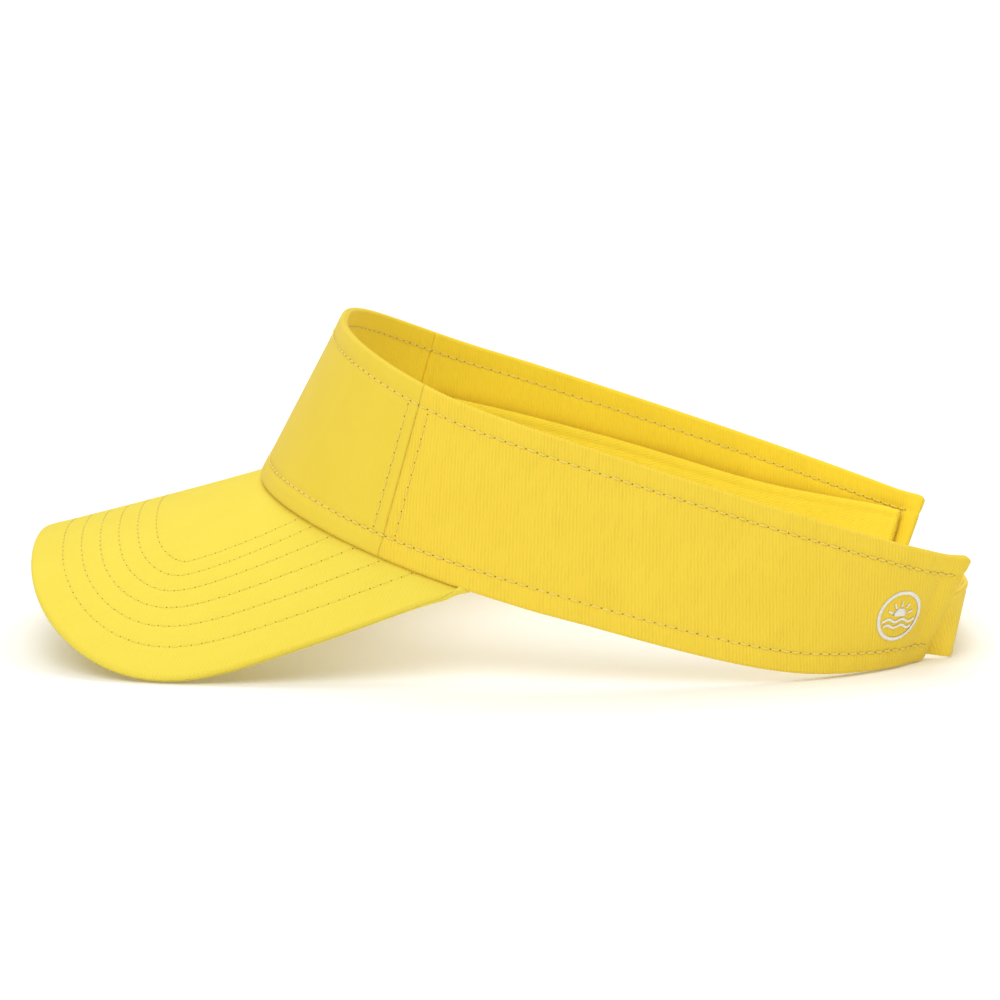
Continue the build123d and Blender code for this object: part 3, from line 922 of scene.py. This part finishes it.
    def panel(self, cut: Cut, outer: bool) -> bpy.types.Object:
        """A panel between two places: an outer face, a back face and rolled long edges.

        Args:
            cut: The cloth.
            outer: True for an outer panel, False for a lining.

        Returns:
            The new piece.
        """
        first = cut.first + (self.seam_gap if abs(cut.first) == 1 else 0)
        last = cut.last - (self.seam_gap if abs(cut.last) == 1 else 0)
        share = np.linspace(0, 1, cut.sections)
        if abs(first) == 2:
            share = share**1.25
        if abs(last) == 2:
            share = 1 - (1 - share) ** 1.25
        p = first + (last - first) * share
        heights, pulls = self.hem_heights(p)
        place = np.broadcast_to(p[:, None], heights.shape)
        lift = self.relief(place, heights, cut)
        edge = np.minimum(heights, self.ribbon.height(p)[:, None] - heights)
        edge = np.minimum(edge, self.end_distance(p)[:, None])
        turned = np.clip(1 - (edge - 1.2 * MM) / (1.5 * MM), 0, 1)
        if outer:
            face = lift - pulls
            back = np.minimum(-self.panel_back - (self.turned_back - self.panel_back) * turned, face - 0.08 * MM)
        else:
            face = -self.stack - lift * 0.8 + pulls
            back = np.maximum(-1.25 * MM + 0.2 * MM * turned, face + 0.08 * MM)
        loop_h = np.concatenate([heights, heights[:, ::-1]], axis=1)
        loop_out = np.concatenate([face, back[:, ::-1]], axis=1)
        loop_p = np.broadcast_to(p[:, None], loop_h.shape)
        points = self.ribbon.place(loop_p, loop_h, loop_out)
        uv = np.stack([self.ribbon.length(loop_p), loop_h], -1)
        return make_piece(cut.name + "_cloth", points, shell_quads(*loop_h.shape).tolist(), uv,
                          [self.finish[cut.cloth]])

    def panels(self) -> None:
        """Sew the three outer panels and the three linings."""
        for cuts, outer in ((self.outer_cuts, True), (self.lining_cuts, False)):
            for cut in cuts:
                install(self.panel(cut, outer), Body.CROWN, cut.slot, cut.name)

    def row_path(self, upper: bool, outer: bool, count: int = 2600) -> tuple[Array, Array]:
        """Points and normals of the row of thread along a long edge, over all three panels.

        Args:
            upper: True for the row below the upper edge, False for the one above the lower edge.
            outer: True for the outer face, False for the lining.
            count: Number of points.

        Returns:
            The points and the normals.
        """
        p = np.linspace(-self.row_reach, self.row_reach, count)
        h = self.ribbon.height(p) - self.edge_row if upper else np.full_like(p, self.edge_row)
        front, left, right = (self.relief(p, h, cut) for cut in (self.outer_cuts if outer else self.lining_cuts))
        lift = np.where(p < -1, right, np.where(p > 1, left, front))
        normal = self.ribbon.normal(p)
        if outer:
            return self.ribbon.place(p, h, lift + self.thread_lift), normal
        return self.ribbon.place(p, h, -self.stack - lift * 0.8 - self.thread_lift), -normal

    def edge_rows(self) -> None:
        """Sew the rows along the band's two long edges."""
        top = ThreadWork()
        top.sew(*self.row_path(True, True))
        top.sew(*self.row_path(True, False))
        bottom = ThreadWork(seed=9)
        bottom.sew(*self.row_path(False, True))
        for name, work in (("top_edge", top), ("bottom_edge", bottom)):
            piece = work.finish(f"{name}_thread", self.finish["thread"], self.finish["hole"])
            install(piece, Body.CROWN, "thread", f"{name}_stitching")

    def seam_rows(self) -> None:
        """Sew a finer row on each side of both side seams."""
        front, left, right = self.outer_cuts
        for side, panel in ((Side.LEFT, left), (Side.RIGHT, right)):
            work = ThreadWork(seed=13, pitch=3.3 * MM, radius=0.17 * MM)
            seam = float(self.ribbon.length(np.array(float(side.value))))
            for step in (-1, 1):
                p = float(np.interp(seam + step * self.seam_row, self.ribbon.along, self.ribbon.places))
                tall = float(self.ribbon.height(np.array(p)))
                h = np.linspace(self.edge_row + 1.2 * MM, tall - self.edge_row - 1.2 * MM, 300)
                lift = self.relief(np.full_like(h, p), h, front if step * side.value < 0 else panel)
                path = self.ribbon.place(np.full_like(h, p), h, lift + 0.05 * MM)
                work.sew(path, np.broadcast_to(self.ribbon.normal(np.array(p)), path.shape))
            name = f"{side.name.lower()}_seam"
            piece = work.finish(f"{name}_thread", self.finish["thread"], self.finish["hole"])
            install(piece, Body.CROWN, "thread", f"{name}_stitching")

    def sweat_section(self, p: Array) -> tuple[Array, Array]:
        """The sweatband's section at each place: a padded flat tube with a bead along its upper edge.

        The section is a superellipse, pinched by a bell at its row of thread. Its height follows a sine and a
        sixth power of the place along the side, and it leans in with the square of the height.

        Args:
            p: Places along the band.

        Returns:
            Heights and offsets, by place and vertex round the section.
        """
        around = self.sweat_around
        turn = np.linspace(0, 2 * math.pi, around, endpoint=False) - math.pi / 2
        half_h = self.sweat_height / 2
        c, n = np.cos(turn), np.sin(turn)
        up = np.sign(n) * np.abs(n) ** 0.5 * half_h
        thick = np.sign(c) * np.abs(c) ** 0.45 * self.sweat_thickness / 2
        h = self.sweat_foot + half_h + up
        top = self.sweat_foot + self.sweat_height - h
        thick = thick * (1 - 0.33 * bell(top - self.sweat_row, 0.8 * MM))
        thick = thick * (1 + 0.22 * bell(top - 1.2 * MM, 1.0 * MM))
        h = np.broadcast_to(h[None, :], (len(p), around))
        s = self.ribbon.length(p)[:, None]
        side = np.clip(np.abs(p[:, None]) - 1, 0, 1)
        taller = self.sweat_rise * np.sin(math.pi * np.clip(side / 0.85, 0, 1)) - self.sweat_drop * side**6
        h = h * (1 + taller / (self.sweat_foot + self.sweat_height))
        lean = self.sweat_lean * (h / self.sweat_height) ** 2 * (0.6 + 0.4 * ripples(s, 0 * s, 77, 70 * MM))
        root = self.root_room * np.clip(1.6 - self.end_distance(p)[:, None] / (12 * MM), 0, 1)
        out = -self.sweat_outer - self.sweat_thickness / 2 - lean - root + thick[None, :]
        out = out + 0.16 * MM * ripples(s, h, 53, 30 * MM)
        beat = np.sin(2 * math.pi * s / self.stitch_pitch)
        return h, out + 0.05 * MM * beat * bell(h - self.sweat_height + self.sweat_row, 3 * MM)

    def sweatband(self) -> None:
        """Wrap the padded sweatband round the inside of the band and sew its upper bead."""
        margin = self.end_margin / self.ribbon.along[-1] * 4
        p = np.linspace(-2 + margin, 2 - margin, self.sweat_sections)
        h, out = self.sweat_section(p)
        place = np.broadcast_to(p[:, None], h.shape)
        points = self.ribbon.place(place, h, out)
        uv = np.stack([self.ribbon.length(place), h], -1)
        piece = make_piece("sweatband_cloth", points, shell_quads(*h.shape).tolist(), uv,
                           [self.finish["sweatband"]])
        install(piece, Body.CROWN, "sweatband_twill", "sweatband_cover", "sweatband_padding")
        work = ThreadWork(seed=21)
        inner = int(np.argmin(np.where(out[0] < -self.sweat_outer - self.sweat_thickness / 2,
                                       np.abs(h[0] - self.sweat_foot - self.sweat_height + self.sweat_row), 9)))
        path = self.ribbon.place(p, h[:, inner], out[:, inner] - 0.05 * MM)
        work.sew(path, -self.ribbon.normal(p))
        piece = work.finish("sweatband_thread", self.finish["thread"], self.finish["hole"])
        install(piece, Body.CROWN, "thread", "sweatband_stitching")

    def build(self) -> None:
        """Build every piece of the band."""
        self.panels()
        self.sweatband()
        self.edge_rows()
        self.seam_rows()


# ---------------------------------------------------------------- the bill


@dataclass
class Bill:
    """Upper and lower cloth covers of the bill with their rows of topstitching."""

    form: VisorForm
    finish: dict[str, bpy.types.Material]
    half_thickness: float = 1.47 * MM
    first_row: float = 9.6 * MM
    row_spacing: float = 5.5 * MM
    side_spacing: float = 7.0 * MM
    rows: int = 6
    row_depth: float = 0.14 * MM
    skin: float = 0.45 * MM
    tucked: float = 1.2 * MM
    sections: int = 420
    across: int = 118

    def __post_init__(self) -> None:
        """Keep the ribbon at hand and measure how far every point lies inside the outer edge."""
        self.ribbon = self.form.bill
        self.p = np.linspace(0.0005, 0.9995, self.sections)
        turn = np.linspace(0, math.pi / 2, 9)[:-1]
        near = self.half_thickness * (1 - np.cos(turn))
        pull = self.half_thickness * (1 - np.sin(turn))
        tall = self.ribbon.height(self.p)[:, None]
        reach = np.maximum(tall + self.tucked - self.half_thickness, 0.3 * MM)
        middle = self.half_thickness + reach * np.linspace(0, 1, self.across)[None, :]
        low = np.broadcast_to(near[None, :], (self.sections, len(near)))
        self.w = np.concatenate([low, middle], axis=1)
        self.pulls = np.concatenate([pull, np.zeros(self.across)])[None, :]
        self.inside = self.edge_distance(self.ribbon.place(self.p[:, None], self.w))
        side = np.clip((np.abs(2 * self.p - 1) - 0.25) / 0.35, 0, 1)[:, None]
        self.spacing = self.row_spacing + (self.side_spacing - self.row_spacing) * side**2 * (3 - 2 * side)

    def edge_distance(self, points: Array) -> Array:
        """Distance from each point to the bill's outer edge line."""
        edge = self.ribbon.low[::2]
        return np.stack([np.min(np.linalg.norm(row[:, None] - edge[None], axis=2), axis=1) for row in points])

    def relief(self, inside: Array, s: Array, spacing: Array) -> Array:
        """Lift of the cloth: each row of thread sinks it, and it swells a little between the rows."""
        total = np.zeros_like(inside)
        for k in range(self.rows):
            away = inside - self.first_row - k * spacing
            total -= self.row_depth * bell(away, 0.75 * MM)
            total += 0.03 * MM * np.sin(2 * math.pi * s / (3.0 * MM) + k) * bell(away, 1.8 * MM)
        total += 0.10 * MM * bell(inside - self.half_thickness - 2.0 * MM, 2.5 * MM)
        return total + 0.05 * MM * ripples(s, inside, 61, 26 * MM)

    def cover(self, upper: bool) -> bpy.types.Object:
        """One cover: a face from the seam to the outer edge, rolled down to the middle of the edge."""
        s = self.ribbon.length(self.p)[:, None]
        lift = self.relief(self.inside, np.broadcast_to(s, self.inside.shape), self.spacing)
        fade = np.clip(self.w / (2 * self.half_thickness), 0, 1)
        thick = np.clip(self.ribbon.height(self.p)[:, None] / (5 * MM), 0.35, 1)
        face = lift * fade - self.pulls * thick
        back = np.minimum(-self.skin - 0.9 * MM * bell(self.w, 1.2 * MM), face - 0.05 * MM)
        middle = self.half_thickness * thick
        back = np.maximum(back, -middle + 0.02 * MM)
        if not upper:
            face = -2 * middle - face
            back = -2 * middle - back
        loop_w = np.concatenate([self.w, self.w[:, ::-1]], axis=1)
        loop_out = np.concatenate([face, back[:, ::-1]], axis=1)
        loop_p = np.broadcast_to(self.p[:, None], loop_w.shape)
        points = self.ribbon.place(loop_p, loop_w, loop_out)
        uv = np.stack([points[..., 0], points[..., 1]], -1)
        name = "bill_upper_cloth" if upper else "bill_lower_cloth"
        return make_piece(name, points, shell_quads(*loop_w.shape).tolist(), uv, [self.finish["bill"]])

    def row_line(self, number: int, upper: bool) -> tuple[Array, Array]:
        """Path and normals of one row: where the distance inside the outer edge reaches the row's own."""
        distance = (self.first_row + number * self.spacing)[:, 0]
        reached = self.inside >= distance[:, None]
        usable = reached[:, -1] & (self.ribbon.height(self.p) > distance + 0.8 * MM)
        k = np.argmax(reached, axis=1)[usable]
        i = np.nonzero(usable)[0]
        before, after = self.inside[i, k - 1], self.inside[i, k]
        mix = (distance[i] - before) / (after - before)
        w = self.w[i, k - 1] * (1 - mix) + self.w[i, k] * mix
        p = self.p[i]
        lift = self.relief(distance[i], self.ribbon.length(p), self.spacing[i, 0])
        sign = 1 if upper else -1
        out = lift + 0.05 * MM if upper else -2 * self.half_thickness - lift - 0.05 * MM
        return self.ribbon.place(p, w, out), self.ribbon.normal(p) * sign

    def build(self) -> None:
        """Build both covers and sew the rows through them."""
        install(self.cover(True), Body.CROWN, "bill_twill", "bill_top_cover")
        install(self.cover(False), Body.CROWN, "bill_twill", "bill_under_cover")
        work = ThreadWork(seed=33, radius=0.15 * MM, hole_radius=0.23 * MM, arch=0.08 * MM, gap=0.9 * MM)
        for k in range(self.rows):
            for upper in (True, False):
                work.sew(*self.row_line(k, upper))
        piece = work.finish("bill_thread", self.finish["bill_thread"], self.finish["bill_hole"])
        install(piece, Body.CROWN, "thread", "bill_stitching")


# ---------------------------------------------------------------- the closure


@dataclass
class Closure:
    """Left strap with hook tape and right tab with loop tape, each with a bend near its sewn root."""

    form: VisorForm
    finish: dict[str, bpy.types.Material]
    width: float = 20.0
    tip_width: float = 14.5
    tab_width: float = 14.5
    thickness: float = 1.2
    foot: float = 0.5
    hinge_inset: float = 1.7
    hinge_lean: float = 4.2
    strap_hinge_reach: float = 9.2
    tab_hinge_reach: float = 6.2
    back_radius: float = 235.0
    span_inset: float = 9.7
    root_inset: float = 1.52
    root_depth: float = 12.0
    tape: float = 1.1
    tape_gap: float = 0.35
    layer_gap: float = 0.12
    strap_tip_inset: float = 8.7
    tab_tip_x: float = 8.0
    tip_corner: float = 3.5
    strap_bend: tuple = ((0.0418, 0.1253, 0.01), (0.0395, 0.1296, 0.01))
    tab_bend: tuple = ((-0.0418, 0.1223, 0.008), (-0.0395, 0.1266, 0.008))

    def line(self, side: Side, hinge_reach: float, inset: float, tip_x: float,
             widths: tuple[float, float], level: float) -> Array:
        """Control points of one long edge of a strap, from inside the panel's end to its tip, in metres.

        Args:
            side: Side the strap is sewn to.
            hinge_reach: How far behind the panel's corner its bending line stands.
            inset: How far inside the outer strap it lies.
            tip_x: Where its tip is, across.
            widths: Its width at the root and at the far end of the outer strap.
            level: 0 for the low edge, 1 for the high edge.

        Returns:
            The control points.
        """
        band = self.form.band
        sign = side.value
        depths = np.array([self.root_depth, self.root_depth / 2, 0.0]) * MM
        s = (band.along[-1] - depths) if sign > 0 else depths
        p = np.interp(s, band.along, band.places)
        z = self.foot + widths[0] * level
        low = band.place(p, z * MM, -self.root_inset * MM)
        corner = self.form.corner
        hinge_y = corner[1] + hinge_reach + self.hinge_lean * (widths[0] * level / self.width - 0.5)
        hinge = np.array([[sign * (corner[0] - self.hinge_inset), hinge_y, z]]) * MM
        x = np.linspace(corner[0] - self.span_inset, sign * tip_x, 8) * sign
        span = corner[0] - self.span_inset
        share = (span - x) / (span + corner[0] - self.strap_tip_inset)
        tall = (widths[0] + (widths[1] - widths[0]) * share) * level
        back_y = corner[1] + self.form.back_reach + self.form.back_lean * (tall / self.width - 0.5)
        arc = np.stack([x, back_y - x**2 / (2 * self.back_radius) - inset, self.foot + tall], -1) * MM
        return np.concatenate([low, hinge, arc])

    def ribbon(self, side: Side, hinge_reach: float, inset: float, tip_x: float, widths: tuple) -> Ribbon:
        """A strap as a ribbon whose places are metres from its sewn end."""
        ends = [self.line(side, hinge_reach, inset, tip_x, widths, level) for level in (0.0, 1.0)]
        places = arc_lengths((ends[0] + ends[1]) / 2)
        at = np.linspace(0, places[-1], 240)
        low, high = (spline_through(places, end, at) for end in ends)
        return Ribbon(at, low, high)

    def webbing(self, name: str, ribbon: Ribbon, outward: float, seed: int) -> bpy.types.Object:
        """A strap's cloth: a flat tube with rounded long edges and a tip with rounded corners."""
        p = np.linspace(0, ribbon.places[-1], 260)
        around = 72
        turn = np.linspace(0, 2 * math.pi, around, endpoint=False) - math.pi / 2
        c, n = np.cos(turn), np.sin(turn)
        up = np.sign(n) * np.abs(n) ** 0.38
        thick = np.sign(c) * np.abs(c) ** 0.5 * self.thickness / 2 * MM
        left = ribbon.places[-1] - p
        corner = self.tip_corner * MM
        trim = np.where(left < corner, corner - np.sqrt(np.maximum(corner**2 - (corner - left) ** 2, 0)), 0)
        half = (ribbon.height(p) / 2 - trim)[:, None]
        h = ribbon.height(p)[:, None] / 2 + up[None, :] * half
        edge = half - np.abs(up)[None, :] * half
        hem = 0.12 * MM * bell(edge - 1.0 * MM, 0.8 * MM) - 0.10 * MM * bell(edge - 2.2 * MM, 0.5 * MM)
        out = (-self.thickness / 2 * MM + thick[None, :] + hem * np.sign(thick)[None, :]
               + 0.12 * MM * ripples(p[:, None], h, seed, 18 * MM))
        place = np.broadcast_to(p[:, None], h.shape)
        points = ribbon.place(place, h, out * outward)
        return make_piece(name, points, shell_quads(*h.shape).tolist(), np.stack([place, h], -1),
                          [self.finish["webbing"]])

    def build(self) -> None:
        """Build both straps, each in one length from the band to its free end."""
        stack = 2 * self.tape + self.thickness + self.tape_gap + 2 * self.layer_gap
        tip_x = self.strap_tip_inset - self.form.corner[0]
        strap = self.ribbon(Side.LEFT, self.strap_hinge_reach, 0.0, tip_x, (self.width, self.tip_width))
        tab = self.ribbon(Side.RIGHT, self.tab_hinge_reach, stack, self.tab_tip_x,
                          (self.tab_width, self.tab_width))
        piece = self.webbing("left_strap_cloth", strap, 1.0, 71)
        install(piece, None, "webbing", "left_strap", "left_strap_root")
        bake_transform(piece)
        piece = self.webbing("right_tab_cloth", tab, -1.0, 73)
        install(piece, None, "webbing", "right_tab", "right_tab_root")
        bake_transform(piece)


# ---------------------------------------------------------------- the emblem


@dataclass
class Emblem:
    """A small round embroidery of a half sun over two waves, in white satin stitch."""

    form: VisorForm
    finish: dict[str, bpy.types.Material]
    from_end: float = 19.5 * MM
    height: float = 16.0 * MM
    radius: float = 7.3 * MM
    rim: float = 1.1 * MM
    lift: float = 0.12 * MM
    sun_radius: float = 2.3 * MM
    sun_rows: int = 11
    ray_reach: tuple = (2.9 * MM, 4.2 * MM)
    ray_half_width: float = 0.35 * MM
    ray_angles: tuple = (20, 55, 90, 125, 160)
    wave_levels: tuple = (-1.3 * MM, -3.0 * MM)
    wave_margin: float = 0.7 * MM
    wave_half_height: float = 0.4 * MM
    wave_length: float = 0.75 * MM
    stitch_spacing: float = 0.24 * MM
    ring_stitches: int = 170

    def __post_init__(self) -> None:
        """Take up the embroidery thread and the cloth that it lies on."""
        self.work = ThreadWork(sink=0.02 * MM, radius=0.16 * MM, arch=0.14 * MM)
        self.cloth = Band(self.form, self.finish)

    def spot(self, a: Array, b: Array) -> tuple[Array, Array]:
        """Points on the panel at a distance a along it and b up it from the emblem's middle, and their normals."""
        band = self.form.band
        s = band.along[-1] - self.from_end + a
        p = np.interp(s, band.along, band.places)
        lift = self.cloth.relief(p, self.height + b, self.cloth.outer_cuts[1])
        return band.place(p, self.height + b, lift + self.lift), band.normal(p)

    def satin(self, a0: Array, b0: Array, a1: Array, b1: Array) -> None:
        """Lay satin stitches from one rail (a0, b0) to the other (a1, b1)."""
        start, normal = self.spot(a0, b0)
        end, _ = self.spot(a1, b1)
        self.work.bars(start, end, normal)

    def build(self) -> None:
        """Embroider the ring, the half sun with rays and the two waves."""
        turn = np.linspace(0, 2 * math.pi, self.ring_stitches, endpoint=False)
        inner = self.radius - self.rim
        self.satin(inner * np.cos(turn), inner * np.sin(turn), self.radius * np.cos(turn + 0.03),
                   self.radius * np.sin(turn + 0.03))
        row = np.linspace(0.1 * MM, 2.1 * MM, self.sun_rows)
        half = np.sqrt(self.sun_radius**2 - row**2)
        self.satin(-half, row, half, row)
        for angle in np.radians(self.ray_angles):
            reach = np.linspace(*self.ray_reach, 5)
            a, b = reach * math.cos(angle), reach * math.sin(angle)
            across, up = self.ray_half_width * math.sin(angle), self.ray_half_width * math.cos(angle)
            self.satin(a - across, b + up, a + across, b - up)
        for level in self.wave_levels:
            reach = math.sqrt((inner - self.wave_margin) ** 2 - level**2)
            a = np.linspace(-reach, reach, int(2 * reach / self.stitch_spacing))
            b = level + self.wave_half_height * np.sin(a / self.wave_length)
            self.satin(a, b - self.wave_half_height, a + 0.1 * MM, b + self.wave_half_height)
        piece = self.work.finish("rear_emblem_embroidery", self.finish["white"], self.finish["hole"])
        install(piece, Body.CROWN, "emblem_thread", "rear_emblem")


# ---------------------------------------------------------------- stage


def direction(azimuth: float, elevation: float) -> Vector:
    """Unit vector towards an azimuth, from -Y towards +X, and an elevation, both in degrees."""
    turn, tilt = math.radians(azimuth), math.radians(elevation)
    return Vector((math.sin(turn) * math.cos(tilt), -math.cos(turn) * math.cos(tilt), math.sin(tilt)))


def aim(thing: bpy.types.Object, back: Vector) -> None:
    """Turn a camera or lamp to look against a direction and put it into the scene."""
    thing.rotation_euler = (-back).to_track_quat("-Z", "Y").to_euler()
    bpy.context.scene.collection.objects.link(thing)


@dataclass(frozen=True)
class Studio:
    """Pale floor, soft white light and a long lens at the side of the visor."""

    distance: float = 1.0
    azimuth: float = 90.0
    elevation: float = 9.3
    focal: float = 124.2
    sensor: float = 36.0
    far: float = 60.0
    target: tuple[float, float, float] = (0.0, 0.0, 0.0382)
    sky: float = 0.49
    sky_colour: str = "#FFFCEA"
    sun_colour: str = "#FAFCFF"
    suns: tuple = ((75.0, 50.0, 1.6), (265.0, 70.0, 1.1))
    sun_size: float = 46.0
    glow: float = 0.09
    floor: str = "#F4F4F6"
    floor_half: float = 30.0

    def build(self) -> None:
        """Set the camera, the lights, the white surroundings and the floor."""
        scene = bpy.context.scene
        scene.view_settings.view_transform = "Standard"
        scene.view_settings.look = "None"
        lens = bpy.data.cameras.new("camera")
        lens.lens = self.focal
        lens.sensor_width = self.sensor
        lens.clip_end = self.far
        camera = bpy.data.objects.new("camera", lens)
        back = direction(self.azimuth, self.elevation)
        camera.location = Vector(self.target) + back * self.distance
        aim(camera, back)
        scene.camera = camera
        world = bpy.data.worlds.new("white_room")
        scene.world = world
        world.use_nodes = True
        sky = world.node_tree.nodes["Background"]
        sky.inputs["Color"].default_value = linear(self.sky_colour)
        sky.inputs["Strength"].default_value = self.sky
        for number, (azimuth, elevation, power) in enumerate(self.suns):
            light = bpy.data.lights.new(f"soft_light_{number}", "SUN")
            light.angle = math.radians(self.sun_size)
            light.energy = power
            light.color = linear(self.sun_colour)[:3]
            aim(bpy.data.objects.new(light.name, light), direction(azimuth, elevation))
        mesh = bpy.data.meshes.new("floor")
        half = self.floor_half
        mesh.from_pydata([(-half, -half, 0), (half, -half, 0), (half, half, 0), (-half, half, 0)], [],
                         [(0, 1, 2, 3)])
        floor = bpy.data.objects.new("floor", mesh)
        # Matt white paper, lit a little from within so that it stays white away from the visor.
        paper = Plain("paper", self.floor, roughness=0.9, grain=40.0, depth=0.0, glow=self.glow)
        mesh.materials.append(paper.build())
        scene.collection.objects.link(floor)


def dress_hidden(nodes: dict[str, bpy.types.Object], finish: dict[str, bpy.types.Material]) -> None:
    """Give the CAD nodes that stay their materials."""
    kept = {"bill_board": "board", "front_stiffener": "buckram",
            "hook_tape": "hooks", "loop_tape": "loops"}
    for node, key in kept.items():
        for slot in nodes[node].material_slots:
            slot.material = finish[key]


def main() -> None:
    """Build the visor and its stage."""
    logging.basicConfig(level=logging.INFO, format="%(name)s %(message)s")
    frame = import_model()
    finish = Finishes().build()
    form = VisorForm()
    Studio().build()
    dress_hidden(frame["nodes"], finish)
    Bill(form, finish).build()
    Band(form, finish).build()
    Closure(form, finish).build()
    Emblem(form, finish).build()


if __name__ == "__main__":
    main()
